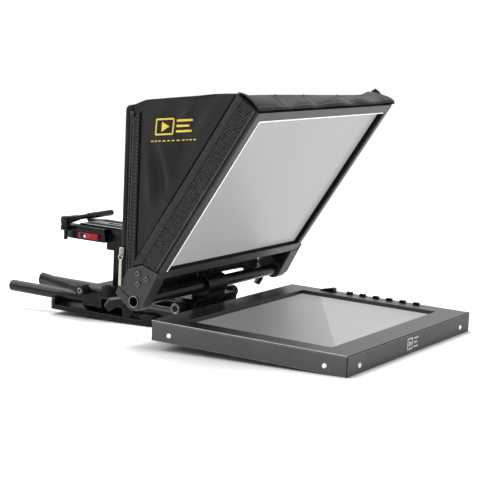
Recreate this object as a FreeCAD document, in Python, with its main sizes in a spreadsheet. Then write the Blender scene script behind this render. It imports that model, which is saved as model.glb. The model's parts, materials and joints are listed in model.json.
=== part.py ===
import FreeCAD, Part
import math
import os
import re

import Sketcher
from FreeCAD import Placement, Rotation, Vector

# Teleprompter on a pair of 15 mm rods.  +Z up, +Y from the presenter towards the camera, +X to
# the presenter's left.  The origin is on the tripod thread, at the underside of the base plate.
# All lengths are in millimetres and all angles in degrees.

SIZES = {
    # base plate and rods
    "base_half": 47, "base_front": -80.5, "base_rear": 88, "base_thick": 6, "base_end_top": 14,
    "base_end_wall": 9, "tripod_big_r": 3.97, "tripod_small_r": 2.55, "tripod_pitch": 30,
    "rod_r": 7.5, "rod_bore_r": 4.6, "rod_x": 30, "rod_z": 17.5, "rod_front": -141.5,
    "rod_rear": 165.5, "slide_gap": 0.05, "screw_r": 2.4, "screw_hole_r": 2.5,
    # monitor
    "case_half": 158, "case_front": -413.5, "case_back": -157.5, "case_bottom": 15.6,
    "case_top": 39, "skin": 1.6, "window_half": 131.5, "window_front": -379.7,
    "window_back": -189.1, "glass_drop": 5, "cover_glass": 2, "panel_thick": 6,
    # buttons on the monitor
    "button_x": 151.5, "button_first": -343.3, "button_pitch": 19, "button_wide": 5.6,
    "button_long": 8, "button_high": 3, "rocker_y": -216.6, "rocker_long": 20,
    "rocker_wide": 8, "fit_gap": 0.3,
    # front bracket, hinge tube
    "bracket_half": 46, "bracket_front": -142, "bracket_rear": -112, "clamp_bottom": 6.8,
    "bracket_top": 43, "tube_r": 7.5, "tube_bore_r": 5.4, "tube_half": 164, "tube_y": -135,
    "tube_z": 58, "holder_x": -4, "holder_half": 20.5, "holder_r": 12.6,
    # mirror frame, in its own tilted directions: up the glass, and out towards the presenter
    "tilt": 57.5, "frame_half": 158, "frame_low": 38, "frame_high": 275, "frame_face": 7.7,
    "frame_deep": 20, "rail_wide": 11.5, "rebate": 4.5, "rebate_drop": 5, "mirror_thick": 3,
    # arms
    "arm_plate": 5, "arm_wide": 20, "arm_r": 11.5, "flange_thick": 4, "clamp_slot": 2,
    "thumb_out": -17, "thumb_x": 153, "stud_r": 2.5,
    # hood, in the tilted directions
    "hood_half": 158.3, "cloth": 2, "band_wide": 29, "band_thick": 1.4, "lens_r": 55, "lens_z": 188,
    "hood_rear": -112.6, "zip_y": -115.5, "zip_z": 110,
    # riser, platform and camera plate
    "riser_half": 45, "riser_front": 4, "riser_rear": 34, "riser_top": 36, "post_half": 8,
    "post_front": 5.5, "post_rear": 14.5, "post_top": 96, "head_half": 37, "head_front": 9,
    "head_round_y": 57, "head_bottom": 94.5, "head_split": 106, "head_top": 112, "neck_half": 24,
    "neck_front": -66, "channel_half": 26, "channel_drop": 7, "plate_top": 114, "plate_rear": 56,
    "plate_front": -64, "pivot_x": -43, "pivot_y": 66,
    # ratchet levers and knobs
    "lever_y": 28, "lever_z": 33.5, "lever_r": 7, "lever_wide": 15, "lever_reach": 68,
    "knob_y": -125, "knob_z": 33.5, "knob_r": 7, "knob_long": 19,
}

doc = FreeCAD.newDocument("teleprompter")
sheet = doc.addObject("Spreadsheet::Sheet", "Sizes")
for row, (alias, amount) in enumerate(SIZES.items(), start=1):
    sheet.set(f"A{row}", alias)
    sheet.set(f"B{row}", str(amount))
    sheet.setAlias(f"B{row}", alias)
doc.recompute()

ACROSS = Vector(1, 0, 0)
ALONG = Vector(0, 1, 0)
UP = Vector(0, 0, 1)
WORD = re.compile(r"[a-z]\w*")
finished = []


# ---------------------------------------------------------------- helpers

def bind(item, prop, formula):
    """Bind one property to a formula written with the sheet's aliases."""
    text = WORD.sub(lambda found: "Sizes." + found[0] if found[0] in SIZES else found[0], str(formula))
    item.setExpression(prop, text)


def locate(item, x=None, y=None, z=None):
    for axis, formula in zip("xyz", (x, y, z)):
        if formula is not None:
            bind(item, "Placement.Base." + axis, formula)


def block(name, x, y, z):
    """A box; x, y and z each give a start and an end formula."""
    item = doc.addObject("Part::Box", name)
    for prop, (start, end) in zip(("Length", "Width", "Height"), (x, y, z)):
        bind(item, prop, f"({end}) - ({start})")
    locate(item, x[0], y[0], z[0])
    return item


def round_bar(name, radius, length, x, y, z, direction=UP):
    """A cylinder from a point along a direction."""
    item = doc.addObject("Part::Cylinder", name)
    item.Placement = Placement(Vector(), Rotation(UP, direction))
    bind(item, "Radius", radius)
    bind(item, "Height", length)
    locate(item, x, y, z)
    return item


def cone(name, radius, radius_end, length, x, y, z, direction=UP):
    item = doc.addObject("Part::Cone", name)
    item.Placement = Placement(Vector(), Rotation(UP, direction))
    bind(item, "Radius1", radius)
    bind(item, "Radius2", radius_end)
    bind(item, "Height", length)
    locate(item, x, y, z)
    return item


def join(name, *items):
    whole = doc.addObject("Part::MultiFuse", name)
    whole.Shapes = list(items)
    return whole


def group(name, items):
    """Several separate solids kept as one sub-part."""
    whole = doc.addObject("Part::Compound", name)
    whole.Links = list(items)
    return whole


def cut(name, base, *tools):
    whole = doc.addObject("Part::Cut", name)
    whole.Base = base
    whole.Tool = tools[0] if len(tools) == 1 else group(name + "_tools", tools)
    return whole


def edge_numbers(shape, wanted):
    return [number for number, edge in enumerate(shape.Edges, start=1) if wanted(edge)]


def straight_along(axis):
    """A test for straight edges parallel to an axis."""
    def test(edge):
        if not isinstance(edge.Curve, Part.Line):
            return False
        return abs(abs(edge.Curve.Direction.normalize().dot(axis)) - 1) < 1e-6
    return test


def at_height(level, axis=UP):
    """A test for edges that lie whole in one plane across an axis."""
    def test(edge):
        return all(abs(point.Point.dot(axis) - level) < 1e-4 for point in edge.Vertexes)
    return test


def soften(name, base, radius, wanted, chamfer=False):
    """Round or bevel the edges that pass the test."""
    doc.recompute()
    item = doc.addObject("Part::Chamfer" if chamfer else "Part::Fillet", name)
    item.Base = base
    item.Edges = [(number, radius, radius) for number in edge_numbers(base.Shape, wanted)]
    return item


def new_body(name):
    return doc.addObject("PartDesign::Body", name)


def new_sketch(body, plane, offset="0"):
    """A sketch on one of the body's origin planes, moved along its normal."""
    drawing = body.newObject("Sketcher::SketchObject", f"{body.Name}_sketch{len(body.Group)}")
    support = [item for item in body.Origin.OriginFeatures if item.Role == plane][0]
    drawing.AttachmentSupport = [(support, "")]
    drawing.MapMode = "FlatFace"
    bind(drawing, "AttachmentOffset.Base.z", offset)
    return drawing


def fix_point(drawing, edge, end, x, y):
    for kind, formula in (("DistanceX", x), ("DistanceY", y)):
        name = f"{kind}_{edge}_{end}"
        made = drawing.addConstraint(Sketcher.Constraint(kind, -1, 1, edge, end, 1.0))
        drawing.renameConstraint(made, name)
        bind(drawing, "Constraints." + name, formula)


def draw_polygon(drawing, points):
    """A closed outline of straight lines; each point is a pair of formulas."""
    first = drawing.GeometryCount
    count = len(points)
    turn = 2 * math.pi / count
    rough = [Vector(90 * math.cos(turn * step), 90 * math.sin(turn * step), 0) for step in range(count)]
    for step in range(count):
        drawing.addGeometry(Part.LineSegment(rough[step], rough[(step + 1) % count]))
    for step in range(count):
        following = first + (step + 1) % count
        drawing.addConstraint(Sketcher.Constraint("Coincident", first + step, 2, following, 1))
    for step, (x, y) in enumerate(points):
        fix_point(drawing, first + step, 1, x, y)


def draw_rectangle(drawing, x, y):
    draw_polygon(drawing, [(x[0], y[0]), (x[1], y[0]), (x[1], y[1]), (x[0], y[1])])


def around(middle, half):
    """A pair of formulas that reach the same way to both sides of a middle."""
    return (f"{middle} - ({half})", f"{middle} + {half}")


def draw_circle(drawing, x, y, radius):
    edge = drawing.addGeometry(Part.Circle(Vector(5, 5, 0), UP, 3))
    fix_point(drawing, edge, 3, x, y)
    name = f"Radius_{edge}"
    made = drawing.addConstraint(Sketcher.Constraint("Radius", edge, 3.0))
    drawing.renameConstraint(made, name)
    bind(drawing, "Constraints." + name, radius)


def pad(body, drawing, length, reverse=False):
    item = body.newObject("PartDesign::Pad", f"{body.Name}_pad{len(body.Group)}")
    item.Profile = drawing
    item.Reversed = reverse
    bind(item, "Length", length)
    body.Tip = item
    return item


def pocket(body, drawing, length=None):
    """Cut a sketch through everything both ways, or to a depth against the sketch's normal."""
    doc.recompute()
    before = body.Shape.Volume
    item = body.newObject("PartDesign::Pocket", f"{body.Name}_pocket{len(body.Group)}")
    item.Profile = drawing
    if length is None:
        item.Type = "ThroughAll"
        item.Midplane = True
    else:
        bind(item, "Length", length)
    body.Tip = item
    doc.recompute()
    if not body.Shape.Volume < before - 1e-3:
        raise ValueError(f"{item.Name} cuts nothing")
    return item


def dress(body, radius, wanted, kind="PartDesign::Fillet"):
    """Fillet or chamfer the body's edges that pass the test."""
    doc.recompute()
    last = body.Tip
    item = body.newObject(kind, f"{body.Name}_edge{len(body.Group)}")
    item.Base = (last, [f"Edge{number}" for number in edge_numbers(last.Shape, wanted)])
    bind(item, "Radius" if kind.endswith("Fillet") else "Size", radius)
    body.Tip = item
    return item


def on_mirror(item):
    """Stand a piece, modelled along the glass, on the hinge tube at the mirror's tilt.

    In the piece's own directions Y runs up the glass from the hinge and Z out of its front."""
    item.Placement = Placement(Vector(), Rotation(ACROSS, 90))
    locate(item, "0", "tube_y", "tube_z")
    bind(item, "Placement.Rotation.Angle", "180 - tilt")
    return item


def keep(item):
    """Put a finished sub-part on the list of those that are written."""
    finished.append(item)
    return item


# ---------------------------------------------------------------- base and rods

def make_base():
    base = new_body("base_plate")
    plan = new_sketch(base, "XY_Plane")
    draw_rectangle(plan, ("-base_half", "base_half"), ("base_front", "base_rear"))
    pad(base, plan, "base_end_top")
    dress(base, "8", straight_along(UP))
    channel = new_sketch(base, "YZ_Plane")
    draw_rectangle(channel, ("base_front + 2 * base_end_wall", "base_rear - base_end_wall"),
                   ("base_thick", "base_end_top + 1"))
    pocket(base, channel)
    saddles = new_sketch(base, "XZ_Plane")
    for side in ("-rod_x", "rod_x"):
        draw_circle(saddles, side, "rod_z", "rod_r + slide_gap")
    pocket(base, saddles)
    threads = new_sketch(base, "XY_Plane")
    draw_circle(threads, "0", "0", "tripod_big_r")
    for place in ("-tripod_pitch", "tripod_pitch"):
        draw_circle(threads, "0", place, "tripod_small_r")
    pocket(base, threads)
    recesses = new_sketch(base, "XY_Plane", "3")
    holes = new_sketch(base, "XY_Plane")
    for x in ("-rod_x", "rod_x"):
        for y in ("base_front + base_end_wall", "base_rear - base_end_wall / 2"):
            draw_circle(recesses, x, y, "2 * screw_hole_r - 0.6")
            draw_circle(holes, x, y, "screw_hole_r")
    pocket(base, holes)
    pocket(base, recesses, "3")
    dress(base, "0.8", at_height(SIZES["base_end_top"]))
    keep(base)

    screws = []
    for x in ("-rod_x", "rod_x"):
        for y in ("base_front + base_end_wall", "base_rear - base_end_wall / 2"):
            spot = len(screws)
            shank = round_bar(f"rod_screw_shank{spot}", "screw_r", "11", x, y, "2")
            head = round_bar(f"rod_screw_head{spot}", "2 * screw_hole_r - 0.9", "2.4", x, y, "0.5")
            screws.append(join(f"rod_screw{spot}", shank, head))
    keep(group("rod_screws", screws))


def make_rod(name, x):
    start = (x, "rod_front", "rod_z")
    outside = round_bar(name + "_outside", "rod_r", "rod_rear - rod_front", *start, ALONG)
    inside = round_bar(name + "_inside", "rod_bore_r", "rod_rear - rod_front", *start, ALONG)
    pipe = soften(name + "_bevelled", cut(name + "_pipe", outside, inside), 0.6,
                  lambda edge: isinstance(edge.Curve, Part.Circle) and edge.Curve.Radius > 7)
    holes = [round_bar(f"{name}_hole{spot}", "screw_hole_r", "rod_r", x, y, "rod_z - rod_r")
             for spot, y in enumerate(("base_front + base_end_wall", "base_rear - base_end_wall / 2"))]
    return keep(cut(name, pipe, *holes))


def make_rod_plugs():
    plugs = []
    for x in ("-rod_x", "rod_x"):
        for y in ("rod_front + 0.3", "rod_rear - 6"):
            spot = len(plugs)
            plug = round_bar(f"plug_body{spot}", "rod_bore_r", "5.7", x, y, "rod_z", ALONG)
            thread = round_bar(f"plug_hole{spot}", "2.5", "5.7", x, y, "rod_z", ALONG)
            plugs.append(cut(f"plug{spot}", plug, thread))
    return keep(group("rod_plugs", plugs))


# ---------------------------------------------------------------- monitor

def make_monitor_tray():
    """The folded steel tray: a floor and four walls, open at the top."""
    tray = new_body("monitor_tray")
    plan = new_sketch(tray, "XY_Plane", "case_bottom")
    draw_rectangle(plan, ("-case_half", "case_half"), ("case_front", "case_back"))
    pad(tray, plan, "case_top - skin - case_bottom")
    dress(tray, "1.5", straight_along(UP))
    hollow = new_sketch(tray, "XY_Plane", "case_top")
    draw_rectangle(hollow, ("skin - case_half", "case_half - skin"),
                   ("case_front + skin", "case_back - skin"))
    pocket(tray, hollow, "case_top - case_bottom - skin")
    vents = new_sketch(tray, "XY_Plane", "case_bottom + skin")
    for step in range(8):
        x = f"{step * 14 - 49}"
        draw_rectangle(vents, (f"{x} - 2", f"{x} + 2"), ("case_front + 90", "case_front + 130"))
    pocket(tray, vents, "2 * skin")
    return keep(tray)


def make_monitor_bezel():
    """The top cover: a flat plate with a turned-down lip round the window."""
    bezel = new_body("monitor_bezel")
    plan = new_sketch(bezel, "XY_Plane", "case_top - skin")
    draw_rectangle(plan, ("-case_half", "case_half"), ("case_front", "case_back"))
    pad(bezel, plan, "skin")
    dress(bezel, "1.5", straight_along(UP))
    lip = new_sketch(bezel, "XY_Plane", "case_top - glass_drop")
    draw_rectangle(lip, ("-window_half - 1.2", "window_half + 1.2"),
                   ("window_front - 1.2", "window_back + 1.2"))
    pad(bezel, lip, "glass_drop - skin / 2")
    window = new_sketch(bezel, "XY_Plane")
    draw_rectangle(window, ("-window_half", "window_half"), ("window_front", "window_back"))
    pocket(bezel, window)
    openings = new_sketch(bezel, "XY_Plane")
    for step in range(6):
        middle = f"button_first + {step} * button_pitch"
        draw_rectangle(openings, around("button_x", "button_wide / 2 + fit_gap"),
                       around(middle, "button_long / 2 + fit_gap"))
    draw_rectangle(openings, around("button_x", "rocker_wide / 2 + fit_gap"),
                   around("rocker_y", "rocker_long / 2 + fit_gap + 0.6"))
    pocket(bezel, openings)
    dress(bezel, "0.5", at_height(SIZES["case_top"]))
    return keep(bezel)


def make_screen():
    glass = block("screen_glass", ("-window_half - 1.2", "window_half + 1.2"),
                  ("window_front - 1.2", "window_back + 1.2"),
                  ("case_top - glass_drop - cover_glass", "case_top - glass_drop"))
    keep(glass)
    panel = new_body("lcd_panel")
    plan = new_sketch(panel, "XY_Plane", "case_top - glass_drop - cover_glass - panel_thick")
    draw_rectangle(plan, ("-window_half - 4", "window_half + 4"), ("window_front - 4", "window_back + 4"))
    pad(panel, plan, "panel_thick")
    dress(panel, "1", straight_along(UP))
    keep(panel)


def make_driver_board():
    floor = "case_bottom + skin"
    posts = [round_bar(f"board_post{spot}", "2.5", "2", f"{x}", f"case_back - {y}", floor)
             for spot, (x, y) in enumerate(((-60, 30), (60, 30), (-60, 110), (60, 110)))]
    board = block("board_card", ("-68", "68"), ("case_back - 118", "case_back - 22"),
                  (f"{floor} + 2", f"{floor} + 3.6"))
    chips = [block(f"board_chip{spot}", (f"{x}", f"{x + 18}"),
                   (f"case_back - {y}", f"case_back - {y - 18}"), (f"{floor} + 3.6", f"{floor} + 6.2"))
             for spot, (x, y) in enumerate(((-50, 100), (-12, 78), (26, 100), (26, 58)))]
    strip = block("button_card", ("case_half - 12", "case_half - 3"),
                  ("button_first - 8", "rocker_y + 14"), (f"{floor} + 8", f"{floor} + 9.4"))
    main = join("main_card", board, *posts, *chips)
    legs = [round_bar(f"strip_post{spot}", "1.6", "8", "case_half - 7.5", y, floor)
            for spot, y in enumerate(("button_first - 4", "rocker_y + 10"))]
    return keep(group("driver_board", [main, join("button_strip", strip, *legs)]))


def make_monitor_inputs():
    """Video and power inlets on the monitor's back wall, away from the rods."""
    plate = block("inlet_plate", ("62", "142"), ("case_back", "case_back + 1.5"), ("19", "35"))
    barrel = round_bar("inlet_barrel", "4.8", "11", "130", "case_back + 1", "27", ALONG)
    bore = round_bar("inlet_bore", "3.2", "9", "130", "case_back + 4", "27", ALONG)
    power = round_bar("power_ring", "5", "3", "112", "case_back + 1", "27", ALONG)
    power_bore = round_bar("power_bore", "3.2", "4", "112", "case_back + 0.8", "27", ALONG)
    video = block("video_shell", ("74", "96"), ("case_back + 1", "case_back + 6.5"), ("22", "32"))
    slot = block("video_slot", ("76", "94"), ("case_back + 1.6", "case_back + 8"), ("24", "30"))
    return keep(cut("monitor_inputs", join("inlet_solids", plate, barrel, power, video),
                    bore, power_bore, slot))


def make_case_screws():
    """Countersunk screws in the side walls, the front wall and the back wall."""
    spots = []
    for side, inward in (("-case_half", ACROSS), ("case_half", -ACROSS)):
        for y in ("case_front + 27.5", "case_back - 25"):
            spots.append((side, y, inward))
    for x in ("28 - case_half", "case_half - 28"):
        spots.append((x, "case_front", ALONG))
    for x in ("10 - case_half", "case_half - 10"):
        spots.append((x, "case_back", -ALONG))
    screws = []
    for number, (x, y, inward) in enumerate(spots):
        out_x = f"{x} - {0.7 * inward.x}"
        out_y = f"{y} - {0.7 * inward.y}"
        head = cone(f"case_screw_head{number}", "3.1", "2.6", "0.8", x, y, "case_top - 14.6", -inward)
        socket = round_bar(f"case_screw_socket{number}", "1.1", "0.5", out_x, out_y,
                           "case_top - 14.6", inward)
        screws.append(cut(f"case_screw{number}", head, socket))
    return keep(group("case_screws", screws))


def make_button(name, step):
    """A key: the cap through the cover and a wider foot that holds it underneath."""
    key = new_body(name)
    middle = f"button_first + {step} * button_pitch"
    cap = new_sketch(key, "XY_Plane", "case_top - 4")
    draw_rectangle(cap, ("button_x - button_wide / 2", "button_x + button_wide / 2"),
                   (f"{middle} - button_long / 2", f"{middle} + button_long / 2"))
    pad(key, cap, "button_high + 4")
    dress(key, "1.2", straight_along(UP))
    dress(key, "0.8", at_height(SIZES["case_top"] + SIZES["button_high"]))
    foot = new_sketch(key, "XY_Plane", "case_top - 4")
    draw_rectangle(foot, ("button_x - button_wide / 2 - 1", "button_x + button_wide / 2 + 1"),
                   (f"{middle} - button_long / 2 - 1", f"{middle} + button_long / 2 + 1"))
    pad(key, foot, "1.2")
    return keep(key)


def make_rocker():
    """The power switch: a peaked rocker that turns on a pin under its middle."""
    rocker = new_body("power_switch")
    side = new_sketch(rocker, "YZ_Plane", "button_x - rocker_wide / 2")
    draw_polygon(side, [("rocker_y - rocker_long / 2", "case_top - 3.4"),
                        ("rocker_y - 4", "case_top - 6"), ("rocker_y + 4", "case_top - 6"),
                        ("rocker_y + rocker_long / 2", "case_top - 3.4"),
                        ("rocker_y + rocker_long / 2", "case_top + 1.2"), ("rocker_y + 1", "case_top + 3"),
                        ("rocker_y - 6", "case_top + 5"), ("rocker_y - rocker_long / 2", "case_top + 4.2")])
    pad(rocker, side, "rocker_wide")
    dress(rocker, "0.7", straight_along(ACROSS))
    return keep(rocker)


# ---------------------------------------------------------------- front bracket and hinge tube

def make_rod_bracket():
    """The block that slides on both rods and carries the hinge tube and the monitor."""
    body = new_body("rod_bracket")
    face = new_sketch(body, "XZ_Plane", "-bracket_rear")
    draw_polygon(face, [("-bracket_half", "clamp_bottom + 5"), ("5 - bracket_half", "clamp_bottom"),
                        ("bracket_half - 5", "clamp_bottom"), ("bracket_half", "clamp_bottom + 5"),
                        ("bracket_half", "bracket_top - 4"), ("bracket_half - 4", "bracket_top"),
                        ("4 - bracket_half", "bracket_top"), ("-bracket_half", "bracket_top - 4")])
    pad(body, face, "bracket_rear - bracket_front")
    bores = new_sketch(body, "XZ_Plane")
    for side in ("-rod_x", "rod_x"):
        draw_circle(bores, side, "rod_z", "rod_r + slide_gap")
    pocket(body, bores)
    row = new_sketch(body, "XZ_Plane", "-bracket_front")
    for step in range(4):
        draw_circle(row, f"{20 * step} - 38", "bracket_top - 5.5", "tripod_small_r")
    pocket(body, row, "9")
    slots = new_sketch(body, "YZ_Plane")
    draw_rectangle(slots, ("bracket_front + 11", "bracket_front + 19"),
                   ("clamp_bottom - 1", "clamp_bottom + 1.4"))
    pocket(body, slots)
    dress(body, "0.9", at_height(SIZES["bracket_rear"], ALONG))
    return keep(body)


def make_tube_holder():
    """A saddle block round the hinge tube, bolted on top of the rod bracket."""
    low, high = "holder_x - holder_half", "holder_x + holder_half"
    collar = round_bar("holder_collar", "holder_r", "2 * holder_half", low, "tube_y", "tube_z", ACROSS)
    stand = block("holder_stand", (low, high), ("tube_y - 9", "tube_y + 14.5"), ("bracket_top", "tube_z"))
    ear = block("holder_ear", (low, high), ("tube_y", "tube_y + 17.2"), ("tube_z - 3", "tube_z + 10"))
    solid = soften("holder_rounded", join("holder_solid", collar, stand, ear), 1.2, straight_along(UP))
    bore = round_bar("holder_bore", "tube_r + 0.02", "2 * holder_half + 2", f"{low} - 1", "tube_y",
                     "tube_z", ACROSS)
    split = block("holder_split", (f"{low} - 1", f"{high} + 1"), ("tube_y + 4", "tube_y + 23"),
                  ("tube_z + 2.6", "tube_z + 4.4"))
    holes = [round_bar(f"holder_hole{spot}", "screw_hole_r", "20", f"holder_x + {x}", "tube_y + 12",
                       "tube_z - 7") for spot, x in enumerate((-12, 12))]
    keep(cut("tube_holder", solid, bore, split, *holes))
    screws = []
    for spot, x in enumerate((-12, 12)):
        place = (f"holder_x + {x}", "tube_y + 12")
        shank = round_bar(f"holder_shank{spot}", "screw_r", "14", *place, "tube_z - 2.9")
        head = round_bar(f"holder_head{spot}", "3.6", "3", *place, "tube_z + 10")
        key = round_bar(f"holder_key{spot}", "1.6", "2", *place, "tube_z + 11.2")
        screws.append(cut(f"holder_screw{spot}", join(f"holder_bolt{spot}", shank, head), key))
    keep(group("holder_screws", screws))


def make_hinge_tube():
    start = ("-tube_half", "tube_y", "tube_z")
    outside = round_bar("tube_outside", "tube_r", "2 * tube_half", *start, ACROSS)
    inside = round_bar("tube_inside", "tube_bore_r", "2 * tube_half", *start, ACROSS)
    return keep(soften("hinge_tube", cut("tube_pipe", outside, inside), 0.5,
                       lambda edge: isinstance(edge.Curve, Part.Circle), chamfer=True))


def make_monitor_bar():
    """The bar between the monitor's back wall and the rod bracket."""
    bar = new_body("monitor_bar")
    face = new_sketch(bar, "XZ_Plane", "-bracket_front")
    draw_rectangle(face, ("-bracket_half", "bracket_half"), ("case_bottom + 1.4", "bracket_top - 11"))
    pad(bar, face, "bracket_front - case_back")
    dress(bar, "2", straight_along(ALONG))
    return keep(bar)


def knurled(name, radius, length, x, y, z, direction, teeth):
    """A round grip with straight grooves round its rim."""
    grip = soften(name + "_grip", round_bar(name + "_blank", radius, length, x, y, z, direction), 0.9,
                  lambda edge: isinstance(edge.Curve, Part.Circle), chamfer=True)
    turn = Rotation(UP, direction)
    grooves = []
    for step in range(teeth):
        angle = 2 * math.pi * step / teeth
        reach = SIZES.get(radius, 0) or float(radius)
        offset = turn.multVec(Vector((reach + 0.5) * math.cos(angle), (reach + 0.5) * math.sin(angle), 0))
        grooves.append(round_bar(f"{name}_groove{step}", "0.95", length, f"{x} + {offset.x}",
                                 f"{y} + {offset.y}", f"{z} + {offset.z}", direction))
    return cut(name + "_knurled", grip, *grooves)


def make_front_knob():
    """The clamp knob on the near side of the rod bracket, with a socket screw in its end."""
    middle = ("knob_y", "knob_z")
    end = "-bracket_half - knob_long"
    grip = knurled("front_grip", "knob_r", "knob_long", "-bracket_half - 0.3", *middle, -ACROSS, 18)
    recess = round_bar("front_recess", "4.4", "4", f"{end} + 3", *middle, -ACROSS)
    screw = round_bar("front_screw", "3.6", "2.6", f"{end} + 3.1", *middle, -ACROSS)
    key = round_bar("front_key", "1.7", "3", f"{end} + 2", *middle, -ACROSS)
    whole = join("front_knob_solid", cut("front_cup", grip, recess), screw)
    return keep(cut("front_clamp_knob", whole, key))


def make_tube_knob():
    """The knob on the far side of the bracket that locks the tube holder."""
    start = "bracket_half + 0.3"
    boss = round_bar("tube_knob_boss", "4.6", "4", start, "knob_y - 2", "knob_z + 5.5", ACROSS)
    grip = knurled("tube_grip", "7.6", "13", f"{start} + 3", "knob_y - 2", "knob_z + 5.5", ACROSS, 20)
    return keep(join("tube_clamp_knob", boss, grip))


# ---------------------------------------------------------------- mirror frame

def make_rail(name, outline, reverse=False):
    """One side of the frame, mitred at both ends, with a rebate for the glass behind its face."""
    rail = new_body(name)
    back = new_sketch(rail, "XY_Plane", "frame_face - frame_deep")
    draw_polygon(back, outline)
    pad(rail, back, "frame_deep")
    rebate = new_sketch(rail, "XY_Plane", "frame_face - rebate_drop")
    inner = "rail_wide - rebate"
    draw_rectangle(rebate, (f"{inner} - frame_half", f"frame_half - ({inner})"),
                   (f"frame_low + {inner}", f"frame_high - ({inner})"))
    pocket(rail, rebate, "frame_deep")
    return keep(on_mirror(rail))


def make_frame():
    left, right = "-frame_half", "frame_half"
    left_in, right_in = "rail_wide - frame_half", "frame_half - rail_wide"
    low, high = "frame_low", "frame_high"
    low_in, high_in = "frame_low + rail_wide", "frame_high - rail_wide"
    make_rail("frame_bottom_rail", [(left, low), (right, low), (right_in, low_in), (left_in, low_in)])
    make_rail("frame_top_rail", [(left, high), (left_in, high_in), (right_in, high_in), (right, high)])
    make_rail("frame_near_stile", [(left, low), (left_in, low_in), (left_in, high_in), (left, high)])
    make_rail("frame_far_stile", [(right, low), (right, high), (right_in, high_in), (right_in, low_in)])


def ring_of_strips(name, inset, wide, front, back):
    """Four separate strips round the inside of the frame."""
    left, right = f"{inset} - frame_half", f"frame_half - ({inset})"
    low, high = f"frame_low + {inset}", f"frame_high - ({inset})"
    strips = [
        block(name + "_low", (left, right), (low, f"{low} + {wide}"), (back, front)),
        block(name + "_high", (left, right), (f"{high} - {wide}", high), (back, front)),
        block(name + "_near", (left, f"{left} + {wide}"), (f"{low} + {wide}", f"{high} - {wide}"),
              (back, front)),
        block(name + "_far", (f"{right} - {wide}", right), (f"{low} + {wide}", f"{high} - {wide}"),
              (back, front)),
    ]
    return keep(on_mirror(group(name, strips)))


def make_mirror():
    edge = "rail_wide - rebate + 0.3"
    front = "frame_face - rebate_drop"
    glass = block("glass_sheet", (f"{edge} - frame_half", f"frame_half - ({edge})"),
                  (f"frame_low + {edge}", f"frame_high - ({edge})"), (f"{front} - mirror_thick", front))
    keep(on_mirror(group("beamsplitter_glass", [glass])))
    ring_of_strips("glass_gasket", "rail_wide", "1.4", "frame_face - 0.6", front)
    ring_of_strips("glass_retainers", "rail_wide - rebate + 0.2", "7", f"{front} - mirror_thick",
                   f"{front} - mirror_thick - 3")


ARM_SCREWS = (("31", "-14"), ("33", "-1"), ("21", "-7"))


def make_arm(name, side):
    """The cast arm that clamps on the hinge tube and carries one lower corner of the frame."""
    def span(near, far):
        low, high = f"{side} * ({near})", f"{side} * ({far})"
        return (low, high) if side > 0 else (high, low)

    plate_in, plate_out = "frame_half", "frame_half + arm_plate"
    collar_in = "frame_half + arm_plate - arm_wide"
    plate = new_body(name + "_plate")
    outline = new_sketch(plate, "YZ_Plane", span(plate_in, plate_out)[0])
    draw_polygon(outline, [("47.4", "frame_face"), ("2", "arm_r"), ("-6", "9"), ("-10", "4"),
                           ("-11", "-3"), ("-9", "-26"), ("-2", "-27"), ("3", "-27"),
                           ("25.8", "-27.6"), ("41.8", "-15.6")])
    pad(plate, outline, "arm_plate")
    dress(plate, "1.2", straight_along(ACROSS))
    collar = round_bar(name + "_collar", "arm_r", "arm_wide - arm_plate + 1",
                       span(collar_in, plate_in)[0] if side > 0 else f"{plate_in} * -1 - 1",
                       "0", "0", ACROSS)
    flange = new_body(name + "_flange")
    strip = new_sketch(flange, "YZ_Plane", span(collar_in, plate_in)[0])
    draw_polygon(strip, [("37.6", "frame_face + 0.82"), ("0", "arm_r"), ("0", "arm_r - flange_thick"),
                         ("37.6", "frame_face + 0.82 - flange_thick")])
    pad(flange, strip, "arm_wide - arm_plate")
    lug = block(name + "_lug", span(collar_in, f"{plate_in} + 1"), ("clamp_slot / 2", "12"), ("-25", "-6"))
    tab = block(name + "_tab", span(collar_in, f"{plate_in} + 1"), ("-9", "-clamp_slot / 2"), ("-25", "-6"))
    solid = join(name + "_solid", plate, collar, flange, lug, tab)
    low = span(collar_in, plate_out)[0]
    bore = round_bar(name + "_bore", "tube_r + slide_gap", "arm_wide + 2", f"{low} - 1", "0", "0", ACROSS)
    slot = block(name + "_slot", (f"{low} - 1", f"{low} + arm_wide + 1"),
                 ("-clamp_slot / 2", "clamp_slot / 2"), ("-30", "-2"))
    stud = round_bar(name + "_stud_hole", "stud_r + 0.08", "25", f"{side} * thumb_x", "-11",
                     "thumb_out", ALONG)
    holes = [round_bar(f"{name}_hole{spot}", "1.9", "12", f"{side} * (frame_half + arm_plate) - 6", y, z,
                       ACROSS) for spot, (y, z) in enumerate(ARM_SCREWS)]
    return keep(on_mirror(cut(name, solid, bore, slot, stud, *holes)))


def make_hinge_blocks():
    """The inner blocks that the arm screws pull the arms against, under the frame's corners."""
    blocks = []
    for side in (-1, 1):
        near, far = f"{side} * (frame_half - 14.8)", f"{side} * frame_half"
        span = (near, far) if side > 0 else (far, near)
        solid = block(f"hinge_block_solid{side + 1}", span, ("13", "frame_low"),
                      ("frame_face - frame_deep", "frame_face - 4.6"))
        holes = [round_bar(f"hinge_block_hole{side + 1}_{spot}", "1.9", "12",
                           f"{side} * (frame_half - 4) - 6", y, z, ACROSS)
                 for spot, (y, z) in enumerate(ARM_SCREWS)]
        blocks.append(cut(f"hinge_block{side + 1}", solid, *holes))
    return keep(on_mirror(group("hinge_blocks", blocks)))


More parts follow.
